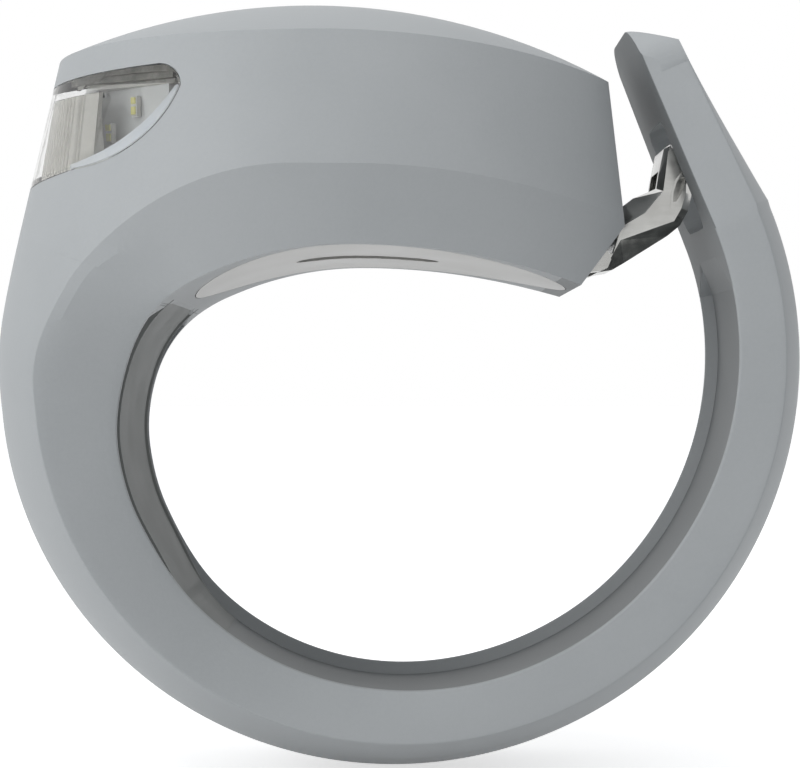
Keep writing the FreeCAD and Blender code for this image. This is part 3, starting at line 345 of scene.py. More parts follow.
def surface_group(name, stretch, grain_detail):
    """Clouds choose between the two colours; the grain, drawn out by the stretch, makes the height."""
    group = new_group(name)
    add = group.nodes.new
    inputs, outputs = add("NodeGroupInput"), add("NodeGroupOutput")
    coordinates, mapping = add("ShaderNodeTexCoord"), add("ShaderNodeMapping")
    clouds, grain = add("ShaderNodeTexNoise"), add("ShaderNodeTexNoise")
    both, rough = add("ShaderNodeMath"), add("ShaderNodeMath")
    share, colour = add("ShaderNodeMapRange"), add("ShaderNodeMix")
    mapping.inputs["Scale"].default_value = stretch
    clouds.inputs["Detail"].default_value = 3
    grain.inputs["Detail"].default_value = grain_detail
    both.operation = rough.operation = "MULTIPLY_ADD"
    both.inputs[1].default_value = 0.35
    share.inputs["From Min"].default_value = 0.42
    share.inputs["From Max"].default_value = 0.92
    colour.data_type = "RGBA"
    place, given = coordinates.outputs["Object"], inputs.outputs
    for source, target in (
        (place, mapping.inputs["Vector"]), (place, clouds.inputs["Vector"]),
        (mapping.outputs["Vector"], grain.inputs["Vector"]),
        (given["Cloud Scale"], clouds.inputs["Scale"]), (given["Grain Scale"], grain.inputs["Scale"]),
        (grain.outputs["Fac"], both.inputs[0]), (clouds.outputs["Fac"], both.inputs[2]),
        (both.outputs[0], share.inputs["Value"]), (share.outputs["Result"], colour.inputs["Factor"]),
        (given["Colour"], colour.inputs["A"]), (given["Second Colour"], colour.inputs["B"]),
        (share.outputs["Result"], rough.inputs[0]), (given["Roughness Spread"], rough.inputs[1]),
        (given["Roughness"], rough.inputs[2]), (rough.outputs[0], outputs.inputs["Roughness"]),
        (colour.outputs["Result"], outputs.inputs["Colour"]),
        (grain.outputs["Fac"], outputs.inputs["Height"]),
    ):
        link(group, source, target)
    return group


moulded_group = surface_group("moulded_surface", (1, 1, 1), 4)
drawn_group = surface_group("drawn_metal", (0.12, 1, 1), 2)
bump_depth = 0.05 * mm


def finish(name, group, first, second, clouds, grain, rough, spread, bump, metallic=0.0, clear=0.0):
    """A material from one of the groups: two linear colours, sizes of clouds and grain, roughness, bump."""
    material = bpy.data.materials.new(name)
    material.use_nodes = True
    tree = material.node_tree
    shader = tree.nodes["Principled BSDF"]
    surface = tree.nodes.new("ShaderNodeGroup")
    surface.node_tree = group
    for label, value in (
        ("Colour", (*first, 1)), ("Second Colour", (*second, 1)), ("Cloud Scale", clouds),
        ("Grain Scale", grain), ("Roughness", rough), ("Roughness Spread", spread),
    ):
        surface.inputs[label].default_value = value
    relief = tree.nodes.new("ShaderNodeBump")
    relief.inputs["Strength"].default_value = bump
    relief.inputs["Distance"].default_value = bump_depth
    link(tree, surface.outputs["Height"], relief.inputs["Height"])
    link(tree, surface.outputs["Colour"], shader.inputs["Base Color"])
    link(tree, surface.outputs["Roughness"], shader.inputs["Roughness"])
    link(tree, relief.outputs["Normal"], shader.inputs["Normal"])
    shader.inputs["Metallic"].default_value = metallic
    shader.inputs["Transmission Weight"].default_value = clear
    return material


print("groups:", moulded_group.name, drawn_group.name)

# %% [markdown]
# ## The materials
# The silicone is matte and slightly cool. The cover and the lamp's tray are glossier moulded plastic, the
# lens is clear, the pad is a darker rubber, and the hook and its hinge are polished steel. Inside, the
# board is green with black chips, and the coin cells are plated steel. Each row of the two lists holds
# two colours, the sizes of clouds and grain, the roughness and its spread, and the bump.

# %% Mix the materials
moulded = {
    "silicone": ((0.325, 0.342, 0.352), (0.362, 0.378, 0.388), 120, 5200, 0.52, 0.12, 0.16),
    # A darker copy of the silicone: painted shade for the trough's floor and the tab's inner side.
    "painted_shade_silicone": ((0.165, 0.175, 0.18), (0.19, 0.2, 0.205), 120, 5200, 0.55, 0.12, 0.16),
    "pad_rubber": ((0.150, 0.158, 0.156), (0.178, 0.186, 0.182), 260, 4200, 0.55, 0.15, 0.22),
    "seal_rubber": ((0.05, 0.05, 0.05), (0.08, 0.08, 0.078), 300, 3500, 0.6, 0.15, 0.2),
    "cover_plastic": ((0.30, 0.295, 0.282), (0.36, 0.355, 0.335), 140, 4600, 0.32, 0.1, 0.05),
    "clear_plastic": ((0.86, 0.87, 0.87), (0.9, 0.905, 0.9), 200, 1500, 0.02, 0.03, 0.03),
    # The post's colour runs from dark grey to near white in fine patches: painted glints.
    "post_painted_glints": ((0.25, 0.25, 0.23), (0.95, 0.95, 0.93), 2600, 3000, 0.06, 0.1, 0.2),
    # The lens rim's pale blue-white: a painted highlight, the bright line that the bevel catches.
    "lens_rim_painted_highlight": ((0.76, 0.81, 0.86), (0.84, 0.87, 0.9), 500, 3000, 0.2, 0.1, 0.05),
    "tray_plastic": ((0.50, 0.49, 0.45), (0.64, 0.63, 0.585), 500, 2600, 0.25, 0.15, 0.2),
    "ledge_plastic": ((0.12, 0.12, 0.105), (0.30, 0.29, 0.26), 900, 3600, 0.3, 0.2, 0.2),
    "board_white": ((0.66, 0.675, 0.675), (0.74, 0.75, 0.745), 260, 3800, 0.35, 0.12, 0.08),
    "phosphor": ((0.62, 0.58, 0.12), (0.80, 0.76, 0.30), 900, 6000, 0.25, 0.1, 0.1),
    "housing_plastic": ((0.012, 0.012, 0.013), (0.022, 0.022, 0.023), 220, 4200, 0.45, 0.15, 0.2),
    "board_green": ((0.012, 0.085, 0.032), (0.02, 0.13, 0.05), 320, 5200, 0.3, 0.15, 0.12),
    "chip_resin": ((0.012, 0.012, 0.012), (0.025, 0.025, 0.026), 500, 6500, 0.5, 0.15, 0.25),
    "white_moulding": ((0.62, 0.61, 0.57), (0.7, 0.69, 0.66), 300, 4200, 0.35, 0.12, 0.1),
}
metals = {
    "tinned": ((0.52, 0.52, 0.50), (0.66, 0.66, 0.64), 500, 3800, 0.25, 0.15, 0.08),
    "zinc": ((0.42, 0.42, 0.42), (0.56, 0.56, 0.55), 600, 4200, 0.28, 0.15, 0.1),
    "plated": ((0.48, 0.48, 0.47), (0.6, 0.6, 0.59), 160, 3400, 0.22, 0.12, 0.08),
    "chrome": ((0.36, 0.36, 0.345), (0.52, 0.52, 0.505), 420, 2600, 0.12, 0.14, 0.07),
    # Lighter and darker copies of the chrome: painted highlight and painted shade on the hook.
    "chrome_painted_highlight": ((0.55, 0.55, 0.53), (0.78, 0.78, 0.765), 380, 2600, 0.08, 0.1, 0.05),
    "chrome_painted_shade": ((0.20, 0.20, 0.19), (0.42, 0.42, 0.40), 900, 2600, 0.15, 0.14, 0.08),
}
see_through = {"clear_plastic": {"clear": 1.0}, "post_painted_glints": {"metallic": 0.4}}
paint = {}
for name, row in moulded.items():
    paint[name] = finish(name, moulded_group, *row, **see_through.get(name, {}))
for name, row in metals.items():
    paint[name] = finish(name, drawn_group, *row, metallic=1.0)
print(len(paint), "materials:", ", ".join(paint))

# %% [markdown]
# ## Finish what stays
# The hard inner parts of the CAD model have the right shape already: they only get a better surface.

# %% Give the CAD parts their surfaces
kept_parts = {
    "clear_plastic": ("lens", "light_pipe"), "tray_plastic": ("reflector",), "phosphor": ("leds",),
    "board_white": ("led_board",), "board_green": ("main_board",), "housing_plastic": ("core_shell",),
    "chip_resin": ("board_chips", "tact_switch"), "white_moulding": ("button_plunger",),
    "cover_plastic": ("base_cover",), "seal_rubber": ("cover_seal",), "pad_rubber": ("strap_pad",),
    "tinned": ("led_leads", "contact_plate", "contact_spring"), "plated": ("cell_lower", "cell_upper"),
    "zinc": ("board_screws", "bracket_screws"), "chrome": ("clasp_bracket", "clasp_pin", "clasp"),
}
for paint_name, node_names in kept_parts.items():
    for node_name in node_names:
        for material_slot in nodes[node_name].material_slots:
            material_slot.material = paint[paint_name]
print("finished", sum(len(names) for names in kept_parts.values()), "CAD parts")

# %% [markdown]
# ## The lines of the ring
# The strap's inner line is a circle of 16.5 mm round the bar. At the right it widens to 18.5 mm, and from
# there the pull tab runs straight and leans inwards by 22 degrees. Under the head the line turns through
# a small arc into the flat saddle. These are the lines that the CAD model uses, so what is made on them
# fits over it. Angles count from the rear, over the top, in degrees.

# %% Inner line of the ring
ring_centre = at(-0.5, -0.1)
ring_radius, side_radius, side_angle = 16.5, 18.5, 315
side_centre = ring_centre - outward(side_angle) * (side_radius - ring_radius)
tab_angle = 382
tab_start = side_centre + outward(tab_angle) * side_radius
tab_along = outward(tab_angle + 90)
tab_out = outward(tab_angle)
saddle_crest = at(-4, 7.1)
rear_radius, front_radius, turn_radius = 38, 19, 8
rear_centre = saddle_crest - at(0, rear_radius)
front_centre = saddle_crest - at(0, front_radius)


def crossing(first, first_radius, second, second_radius):
    """The front one of the two places where two circles meet."""
    gap = second - first
    along = (first_radius**2 - second_radius**2 + gap.length**2) / (2 * gap.length)
    height = sqrt(first_radius**2 - along**2)
    unit = gap.normalized()
    square = Vector((-unit.z, 0, unit.x))
    options = [first + unit * along + square * height, first + unit * along - square * height]
    return min(options, key=lambda place: place.x)


turn_centre = crossing(ring_centre, ring_radius - turn_radius, front_centre, front_radius - turn_radius)
saddle_angle = heading(front_centre, turn_centre)
join_angle = heading(ring_centre, turn_centre) % 360
print("the turn's centre is", [round(v, 2) for v in turn_centre], "joined at", round(join_angle, 1))

# %% [markdown]
# ## The strap's section
# The strap is thick and wide at its root and thins towards the tab. Across, it has a flat inner face with
# a shallow trough in it, leaning sides and a softly crowned outside. Every corner is rounded by about a
# tenth of a millimetre, as silicone comes out of a steel mould, which gives the thin light line along
# each edge. One section is drawn as a loop of points and carried round the ring, so that every length of
# the strap meets the next one exactly.

# %% Sizes of the strap
root_angle = 170
root_sizes, end_sizes = (6.85, 3.1, 8.8), (4.1, 1.65, 6.5)  # thickness, crown and half width
root_spans = (310, 320, 300)  # the angles where these three have come down to their end values
flare_angle, flare_span, flare_limit, flare_width, flare_crown = 183, 12, 1.5, 0.7, 1.0
tab_length = 11.9
tab_sizes, tip_sizes = (4.2, 1.65, 6.5), (2.3, 0.25, 5.3)
inner_shift = [(162, 0), (181, -0.3), (206, 0.08), (225, 0.28), (300, -0.4), (382, 0)]
lip_half_width = [(160, 8.6), (184, 7.9), (235, 6.45), (255, 6.4), (292, 7.0), (360, 7.0), (382, 6.8)]
trough_depth, lip_width, wall_slope = 0.7, 0.3, 0.25
trough_start, trough_end, trough_ramp = 161, 377, 5


def lip_at(angle):
    return smooth_path(lip_half_width, angle)


def ring_station(angle):
    """Inner place, direction outwards, thickness, crown and half width of the strap at an angle."""
    centre, radius = ring_centre, ring_radius
    if angle > side_angle:
        centre, radius = side_centre, side_radius
    swells = [(1 + cos(pi * progress(angle, root_angle, span))) / 2 for span in root_spans]
    thickness, crown, half_width = map(mix, end_sizes, root_sizes, swells)
    flare = min(max((flare_angle - angle) / flare_span, 0), flare_limit)
    half_width += flare_width * flare**2
    crown += flare_crown * flare**2
    return centre + outward(angle) * radius, outward(angle), thickness, crown, half_width


def tab_station(share):
    sizes = [mix(low, high, share) for low, high in zip(tab_sizes, tip_sizes)]
    return tab_start + tab_along * (tab_length * share), tab_out, *sizes


print("thickness round the strap:", [round(ring_station(angle)[2], 1) for angle in range(180, 361, 60)])

# %% Section of the strap
side_count, crown_count = 6, 23
lip_round, trough_round, round_steps = 0.12, 0.1, 3
edge_stand, least_trough = 0.5, 0.002
side_steps = shares(side_count + 1)[1:-1]
crown_steps = [share * 2 - 1 for share in shares(crown_count + 1)[1:-1]]
flank_radii = [lip_round] + [0] * side_count + [lip_round]
corner_radii = flank_radii + [0] * crown_count + flank_radii + [trough_round, 0, 0, trough_round]


def rounded(corners, radii):
    """Loop of points with each corner drawn round; a corner with no radius stays as it is."""
    loop = []
    count = len(corners)
    for index, (corner, radius) in enumerate(zip(corners, radii)):
        if radius == 0:
            loop.append(corner)
            continue
        before, after = corners[index - 1], corners[(index + 1) % count]
        start = corner + (before - corner).normalized() * radius
        end = corner + (after - corner).normalized() * radius
        for share in shares(round_steps):
            loop.append(mix(mix(start, corner, share), mix(corner, end, share), share))
    return loop


def section_corners(inner, half_width, side, edge, edge_half, crown, trough):
    """Inner corners, sides, outer edges, the crown between them and the trough."""
    out = (edge - inner).normalized()
    lift = out * max(trough, least_trough)
    opened = min(trough / trough_depth, 1)
    mouth = mix(half_width * 0.5, half_width - lip_width, opened)
    bed = mouth - wall_slope
    corners = [inner - across * half_width] + side + [edge - across * edge_half] + crown
    corners += [edge + across * edge_half] + mirrored(side)
    corners += [inner + across * half_width, inner + across * mouth]
    return corners + [inner + lift + across * bed, inner + lift - across * bed, inner - across * mouth]


def strap_corners(station, lip, trough, start=0.0):
    """Corners of the strap's section, with its inner face moved outwards by the start."""
    inner, out, thickness, crown, half_width = station
    edge_half = half_width + edge_stand
    crown_radius = (edge_half**2 + crown**2) / (2 * crown)
    lean = asin(edge_half / crown_radius)
    top = []
    for share in crown_steps:
        rise = thickness - crown_radius * (1 - cos(lean * share))
        top.append(inner + out * rise + across * (crown_radius * sin(lean * share)))
    edge = inner + out * (thickness - crown)
    low = inner + out * start
    side = [mix(low, edge, share) - across * mix(lip, edge_half, share) for share in side_steps]
    return section_corners(low, lip, side, edge, edge_half, top, trough)


def ring_section(angle):
    trough = trough_depth * progress(angle, trough_end, trough_end - trough_ramp)
    start = smooth_path(inner_shift, angle)
    return rounded(strap_corners(ring_station(angle), lip_at(angle), trough, start), corner_radii)


def strap_rings(start, end, step=1.5):
    count = max(int(round((end - start) / step)), 1)
    return [ring_section(mix(start, end, share)) for share in shares(count)]


print("a section has", len(ring_section(200)), "points")

# %% [markdown]
# ## The head's walls
# Seen from above the head is an egg. The walls lean in above a crease that runs round the sides, and draw
# in again below it, and the crown closes the top. Each direction from the egg's middle gets a column of
# points up the wall, with one point just where the two walls cross, so that the crease stays sharp, and
# then on over the crown. Silicone leaves a two-part mould easily when all its walls lean like this. The
# two slopes of the rear end are cut with bisect.

# %% Walls of the head
crease_height, crease_nose, crease_rear, crease_half = 11.1, -22.15, 12.3, 13.45
top_height, top_nose, top_rear, top_half = 18.5, -20.45, 11.3, 11.5
crown_height, crown_x, crown_long, crown_cross = 20.9, -6.4, 33.5, 25.8
fall_start, fall_rate = -3.7, 0.0125
middle_x, lower_nose_out, draw_in = -7, 8, 0.22
head_columns, lower_rows, upper_rows, crown_rows = 288, 4, 6, 20
rear_corner = at(10.45, 8.4)
rear_slopes = (Vector((1, 0, 0.1)), Vector((1, 0, -0.766)))


def egg_reach(angle, nose, rear, half_width):
    """Distance of an egg's wall from its middle in one direction."""
    along = rear - middle_x if cos(angle) > 0 else middle_x - nose
    return 1 / sqrt((cos(angle) / along) ** 2 + (sin(angle) / half_width) ** 2)


def upper_reach(angle, height, inset):
    share = (height - crease_height) / (top_height - crease_height)
    nose = mix(crease_nose, top_nose, share) + inset
    rear = mix(crease_rear, top_rear, share) - inset
    return egg_reach(angle, nose, rear, mix(crease_half, top_half, share) - inset)


def lower_reach(angle, height, inset):
    half_width = crease_half - (crease_height - height) * draw_in - inset
    return egg_reach(angle, crease_nose - lower_nose_out, crease_rear - inset, half_width)


def crown_at(x, y, inset):
    long_radius, cross_radius = crown_long - inset, crown_cross - inset
    top = crown_height - crown_long + sqrt(long_radius**2 - (x - crown_x) ** 2)
    return top - cross_radius + sqrt(cross_radius**2 - y**2)


def crease_fall(place):
    """Towards the rear end the crease runs down to the corner between its two slopes."""
    return fall_rate * max(place.x - fall_start, 0) ** 2


def on_wall(angle, reach, height):
    return at(middle_x + reach * cos(angle), height, reach * sin(angle))


print("the head is", round(crease_rear - crease_nose, 1), "mm long before its rear end is cut")

# %% Raise the head
def head_column(angle, inset):
    """Points up the wall in one direction, and on over the crown towards its middle."""
    def upper(height):
        return on_wall(angle, upper_reach(angle, height, inset), height)

    crease = solve(lambda z: upper_reach(angle, z, inset) - lower_reach(angle, z, inset), -1, crease_height)
    fall = crease_fall(on_wall(angle, upper_reach(angle, crease_height, inset), 0))
    crease = max(crease - fall, 0.05)
    drawn = upper_reach(angle, crease, inset) / lower_reach(angle, crease, inset)
    top = solve(lambda z: crown_at(*upper(z).xy, inset) - z, crease_height, crown_height + 2)
    points = []
    for step in range(lower_rows):
        height = mix(0.0, crease, step / lower_rows)
        reach = min(lower_reach(angle, height, inset) * drawn, upper_reach(angle, height, inset))
        points.append(on_wall(angle, reach, height))
    points += [upper(mix(crease, top, step / upper_rows)) for step in range(upper_rows)]
    reach = upper_reach(angle, top, inset)
    for step in range(crown_rows + 1):
        place = on_wall(angle, reach * (1 - step / (crown_rows + 0.5)), 0)
        points.append(at(place.x, crown_at(place.x, place.y, inset), place.y))
    return points


def head_block(name, inset=0.0):
    """The whole head as a solid, with its walls moved inwards by the inset."""
    columns = [head_column(tau * (index + 0.37) / head_columns, inset) for index in range(head_columns)]
    block = ring_body(name, list(zip(*columns)))
    for normal in rear_slopes:
        choose(block)
        bpy.ops.object.mode_set(mode="EDIT")
        bpy.ops.mesh.select_all(action="SELECT")
        bpy.ops.mesh.bisect(
            plane_co=rear_corner - at(inset, 0), plane_no=normal, clear_outer=True, use_fill=True,
        )
        bpy.ops.object.mode_set(mode="OBJECT")
    return block


moulding = head_block("moulding")
print("head block:", len(moulding.data.polygons), "faces")

# %% [markdown]
# ## From head to strap
# Under the head the side walls fan round the turn, like cheeks, and narrow into the strap. The cheeks
# are a fan of rings about the turn's centre, and the head keeps only what lies inside them. The space
# for the bar is cut out, and the head ends on a ray from the ring's centre.

# %% Shape the underside of the head
far = 40
cheek_from, cheek_to, cheek_narrow, cheek_steps, cheek_parts = 84, 192, 7.7, 72, 10
neck_angle = 160


def cheek_half_width(place):
    """Half width of the head's underside walls at a place near the turn."""
    share = progress(heading(turn_centre, place) % 360, cheek_from, cheek_to)
    wide = crease_half - draw_in * (crease_height - saddle_crest.z) + 0.1
    half_width = mix(wide, cheek_narrow, (1 - cos(pi * share)) / 2)
    return half_width + ((place - turn_centre).length - turn_radius) * draw_in


cheek_rings = []
for share in shares(cheek_steps):
    out = outward(mix(cheek_from, cheek_to, share))
    start, end = turn_centre + out * (turn_radius - 2), turn_centre + out * (turn_radius + 20)
    ray = [mix(start, end, part) for part in shares(cheek_parts)]
    near_side = [place - across * cheek_half_width(place) for place in ray]
    cheek_rings.append(near_side + mirrored(near_side))
cheeks = ring_body("cheeks", cheek_rings)
rear_start = turn_centre.x + 0.5
rear_outline = [at(rear_start, -5), at(far, -5), at(far, 35), at(rear_start, 35)]
combine(cheeks, prism("rear_half", rear_outline, far / 2), "UNION")
combine(moulding, cheeks, "INTERSECT")

rear_lean = degrees(asin((16 - saddle_crest.x) / rear_radius))
bar_outline = arc_points(rear_centre, rear_radius, 90 - rear_lean, 90, 40)
bar_outline += arc_points(front_centre, front_radius, 90, saddle_angle, 24)[1:]
bar_outline += arc_points(turn_centre, turn_radius, saddle_angle, join_angle, 40)[1:]
bar_outline += arc_points(ring_centre, ring_radius, join_angle, side_angle, 100)[1:]
bar_outline += arc_points(side_centre, side_radius, side_angle, 360, 40)[1:]
combine(moulding, prism("bar_space", bar_outline, far / 2), "DIFFERENCE")
below_neck = [ring_centre, ring_centre + outward(neck_angle) * 45, at(-45, -40), at(0, -40)]
combine(moulding, prism("below_neck", below_neck, 30), "DIFFERENCE")
print("head to its neck:", len(moulding.data.polygons), "faces")

# %% [markdown]
# ## The neck
# On the real light head and strap are one moulding, and the crease of the head's side becomes the edge
# of the strap. So from the cut on, each section is first the head's own and turns step by step into the
# strap's. The head's section is found by asking, along a ray, how wide its walls are there.

# %% Turn the head's section into the strap's
strap_from, head_end, neck_steps, root_steps = 184, 234, 48, 8


def egg_half_width(x, nose, rear, half_width):
    along = rear - middle_x if x > middle_x else middle_x - nose
    rest = 1 - ((x - middle_x) / along) ** 2
    return half_width * sqrt(rest) if rest > 0 else rest


def outer_half_width(place):
    share = (place.z - crease_height) / (top_height - crease_height)
    nose, rear = mix(crease_nose, top_nose, share), mix(crease_rear, top_rear, share)
    return egg_half_width(place.x, nose, rear, mix(crease_half, top_half, share))


def inner_half_width(place):
    lower = crease_half - (crease_height - place.z) * draw_in
    return min(cheek_half_width(place), egg_half_width(place.x, crease_nose - lower_nose_out, crease_rear, lower))


def turn_reach(angle):
    """Distance from the ring's centre to the inner side of the turn."""
    offset = ring_centre - turn_centre
    along = outward(angle).dot(offset)
    reach = -along + sqrt(along**2 - offset.length_squared + turn_radius**2)
    return reach + smooth_path(inner_shift, angle)


def head_corners(angle, trough):
    out = outward(angle)
    start = turn_reach(angle)

    def outer(reach):
        return outer_half_width(ring_centre + out * reach)

    end = solve(outer, start, 30)
    crease = solve(lambda reach: outer(reach) - inner_half_width(ring_centre + out * reach), start, end)
    edge = ring_centre + out * crease
    edge_half = inner_half_width(edge)
    top = []
    for share in crown_steps:
        reach = solve(lambda r: outer(r) - edge_half * abs(share), crease, end)
        top.append(ring_centre + out * reach + across * (edge_half * share))
    inner = ring_centre + out * start
    side = []
    for share in side_steps:
        place = mix(inner, edge, share)
        side.append(place - across * inner_half_width(place))
    return section_corners(inner, inner_half_width(inner), side, edge, edge_half, top, trough)


def root_corners(angle, trough):
    """Corners of the strap where its inner face still follows the turn."""
    return strap_corners(ring_station(angle), lip_at(angle), trough, turn_reach(angle) - ring_radius)


neck_rings = []
for share in shares(neck_steps):
    angle = mix(neck_angle, strap_from, share)
    turned = soft(share)
    trough = trough_depth * progress(angle, trough_start, trough_start + trough_ramp)
    pairs = zip(head_corners(angle, trough), root_corners(angle, trough))
    corners = [mix(head, strap, turned) for head, strap in pairs]
    neck_rings.append(rounded(corners, [radius * max(turned, 0.1) for radius in corner_radii]))
for share in shares(root_steps)[1:]:
    corners = root_corners(mix(strap_from, join_angle, share), trough_depth)
    neck_rings.append(rounded(corners, corner_radii))
neck_rings += strap_rings(join_angle, head_end)[1:]
neck_body = ring_body("neck_body", neck_rings)
print("neck and root:", len(neck_body.data.polygons), "faces")

# %% [markdown]
# ## Openings of the head
# The moulding is a skin: the hard housing sits in its hollow, and goes in through the opening on the
# underside that the cover closes. In front, a leaf-shaped window goes across for the lens, and a narrow
# recess at the rear holds the hook's hinge. The openings are cut before the neck is joined on, since a
# boolean is safest on the simpler body.

# %% Cut the hollow
wall, fit, deck = 1.3, 0.05, 8.3
cover_x, cover_rear, cover_front, cover_half, cover_points = -5, 12.7, 8, 11.6, 160

above_deck = prism("above_deck", [at(-far, deck), at(far, deck), at(far, 48), at(-far, 48)], far)
hollow = combine(head_block("hollow", wall), above_deck, "INTERSECT")


def cover_loop(height):
    """The cover's outline with its fit: two half ellipses that meet on its widest line."""
    loop = []
    for step in range(cover_points):
        angle = tau * (step + 0.29) / cover_points
        reach = cover_rear if cos(angle) > 0 else cover_front
        loop.append(at(cover_x + (reach + fit) * cos(angle), height, (cover_half + fit) * sin(angle)))
    return loop


combine(hollow, ring_body("cover_opening", [cover_loop(height) for height in (-3, deck + 0.1)]), "UNION")
combine(moulding, hollow, "DIFFERENCE")
print("head with its hollow:", len(moulding.data.polygons), "faces")

# %% Cut the window and the recess
top_touch, knee = at(-14.2, 16.55), at(-18.66, 11.23)
leaf_end, leaf_belly = at(-12.84, 15.3), at(-14.84, 12.64)
leaf_bend = (top_touch + leaf_end) * 0.5 + outward(40) * 0.42
leaf_front = crease_nose - 5
leaf_top = at(leaf_front, top_touch.z - (top_touch.x - leaf_front) * 0.05)
leaf_foot = at(leaf_front, knee.z - (knee.x - leaf_front) * 0.18)
recess_half, recess_back, recess_low, recess_high = 4.05, 7.2, 5.75, 11.2

rim_curve = arc_through(leaf_end, leaf_belly, knee, 40)
window = [leaf_top] + arc_through(top_touch, leaf_bend, leaf_end, 12) + rim_curve[1:] + [leaf_foot]
combine(moulding, prism("window", window, far / 2), "DIFFERENCE")
recess_front = recess_back + 10
recess = [
    at(recess_back, recess_low), at(recess_front, recess_low),
    at(recess_front, recess_high), at(recess_back, recess_high),
]
combine(moulding, prism("recess", recess, recess_half), "DIFFERENCE")
combine(moulding, neck_body, "UNION")
print("moulding:", len(moulding.data.polygons), "faces")

# %% [markdown]
# ## The strap in lengths
# The strap bends open, so it is made in four lengths that meet edge to edge. Three of the lengths each cross one
# hinge of the model, but they are not blended over it: they ride on no body. The last length carries the pull tab
# and is stiff.

# %% Make the lengths of the strap
side_end, high_end, tab_begin, tab_steps = 267, 316, 357, 30

length_low = ring_body("strap_length_low", strap_rings(head_end, side_end))
length_side = ring_body("strap_length_side", strap_rings(side_end, high_end))
length_high = ring_body("strap_length_high", strap_rings(high_end, tab_begin))
tab_rings = strap_rings(tab_begin, tab_angle)
for share in shares(tab_steps)[1:]:
    lip =mix(lip_at(tab_angle), tip_sizes[2], share)
    tab_rings.append(rounded(strap_corners(tab_station(share), lip, 0), corner_radii))
tab = ring_body("pull_tab", tab_rings)
print("lengths:", [len(piece.data.polygons) for piece in (length_low, length_side, length_high, tab)])

# %% [markdown]
# ## The pull tab's end and slot
# A thumb pulls the strap by its tab, and the hook catches in the slot behind it. The tab's end is
# rounded seen from behind and cut on a slope seen from the side, and the slot has rounded corners so
# that the silicone doesn't tear. Both are cut with bodies drawn along the tab's own directions.

# %% Cut the end of the tab and its slot
tip_half, tip_round, tip_slope, tip_steps = 5.8, 3.0, 0.776, 15
clear_half, clear_low = 9.3, -30
slot_half, slot_low, slot_high, slot_round, slot_steps = 3.4, 0.3, 6.6, 0.8, 8


def on_tab(out, along, side=0.0):
    return tab_start + tab_out * out + tab_along * along + at(0, 0, side)


shoulder = tab_length - tip_round
rounding = [(-tip_half, shoulder)]
for step in range(1, tip_steps + 1):
    angle = radians(180 - 90 * step / tip_steps)
    rounding.append((-tip_half + tip_round + tip_round * cos(angle), shoulder + tip_round * sin(angle)))
rounding += [(-y, z) for y, z in reversed(rounding)]
outline = [(-clear_half, clear_low), (-clear_half, shoulder)] + rounding
outline += [(clear_half, shoulder), (clear_half, clear_low)]
end_shape = ring_body("end_shape", [[on_tab(out, z, y) for y, z in outline] for out in (-8, 12)])
sloping_cut = [
    on_tab(-1, tab_length + tip_slope), on_tab(12, tab_length - 12 * tip_slope),
    on_tab(12, tab_length + 12), on_tab(-1, tab_length + 12),
]
combine(end_shape, prism("sloping_cut", sloping_cut, far / 2), "DIFFERENCE")
combine(tab, end_shape, "INTERSECT")

slot_loop = []
for side, end, start in ((-1, slot_low, 180), (1, slot_low, 270), (1, slot_high, 0), (-1, slot_high, 90)):
    centre_y = side * (slot_half - slot_round)
    centre_z = end + slot_round if end == slot_low else end - slot_round
    for step in range(slot_steps + 1):
        angle = radians(start + 90 * step / slot_steps)
        slot_loop.append((centre_y + slot_round * cos(angle), centre_z + slot_round * sin(angle)))
slot = ring_body("slot", [[on_tab(out, z, y) for y, z in slot_loop] for out in (-3, 9)])
combine(tab, slot, "DIFFERENCE")
print("pull tab:", len(tab.data.polygons), "faces")

# %% [markdown]
# ## Silicone, and what moves it
# All five pieces are one grey silicone. The trough and the tab's inner side get a darker copy of it, which is
# painted shade, as they lie in shade. Head and tab ride on one body each, while the three lengths between them
# are fixed in place and ride on no body.

# %% Shade and ride
def dress(piece, *names, pick=None, smooth=None):
    """Materials, picked face by face where there are several, then real size and soft shading."""
    piece.data.materials.clear()
    for name in names:
        piece.data.materials.append(paint[name])
    if pick:
        for face in piece.data.polygons:
            face.material_index = int(pick(face))
    to_real_size(piece)
    if smooth:
        bpy.ops.object.shade_smooth_by_angle(angle=radians(smooth))


def gets_painted_shade(piece, face):
    """The trough's floor and the tab's inner side, which get painted shade: a darker copy of the silicone."""
    if piece == tab and (face.center - tab_start).dot(tab_along) > 0:
        return face.normal.dot(tab_out) < -0.7
    angle = heading(ring_centre, face.center) % 360
    angle += 360 if angle < 40 else 0
    reach = (face.center - ring_centre).length
    in_trough = angle > 162 and reach < 21.5 and abs(face.center.y) < lip_at(angle) - lip_width - 0.02
    return in_trough and face.normal.dot(outward(angle)) < -0.6


def on_ring(angle, depth):
    place = ring_station(angle)
    return [v * mm for v in place[0] + place[1] * depth]


for piece in (moulding, length_low, length_side, length_high, tab):
    dress(piece, "silicone", "painted_shade_silicone", pick=lambda face: gets_painted_shade(piece, face), smooth=11)
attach(moulding, "head")
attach(tab, "strap_end")
on_ring(236, 3)
on_ring(250, 3)
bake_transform(length_low)
on_ring(284, 3)
on_ring(300, 3)
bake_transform(length_side)
on_ring(332, 3)
on_ring(348, 3)
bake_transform(length_high)
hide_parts("silicone_skin")
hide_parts("strap_lower")
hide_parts("strap_side")
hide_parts("strap_end")

# %% [markdown]
# ## The grip pad
# The front of the ring presses hardest on the bar, so a strip of grippier rubber lies in the trough
# there. It is moulded flat with a thin raised rim along both edges, and bends with the trough. Its lower
# end thins out into the trough's floor.

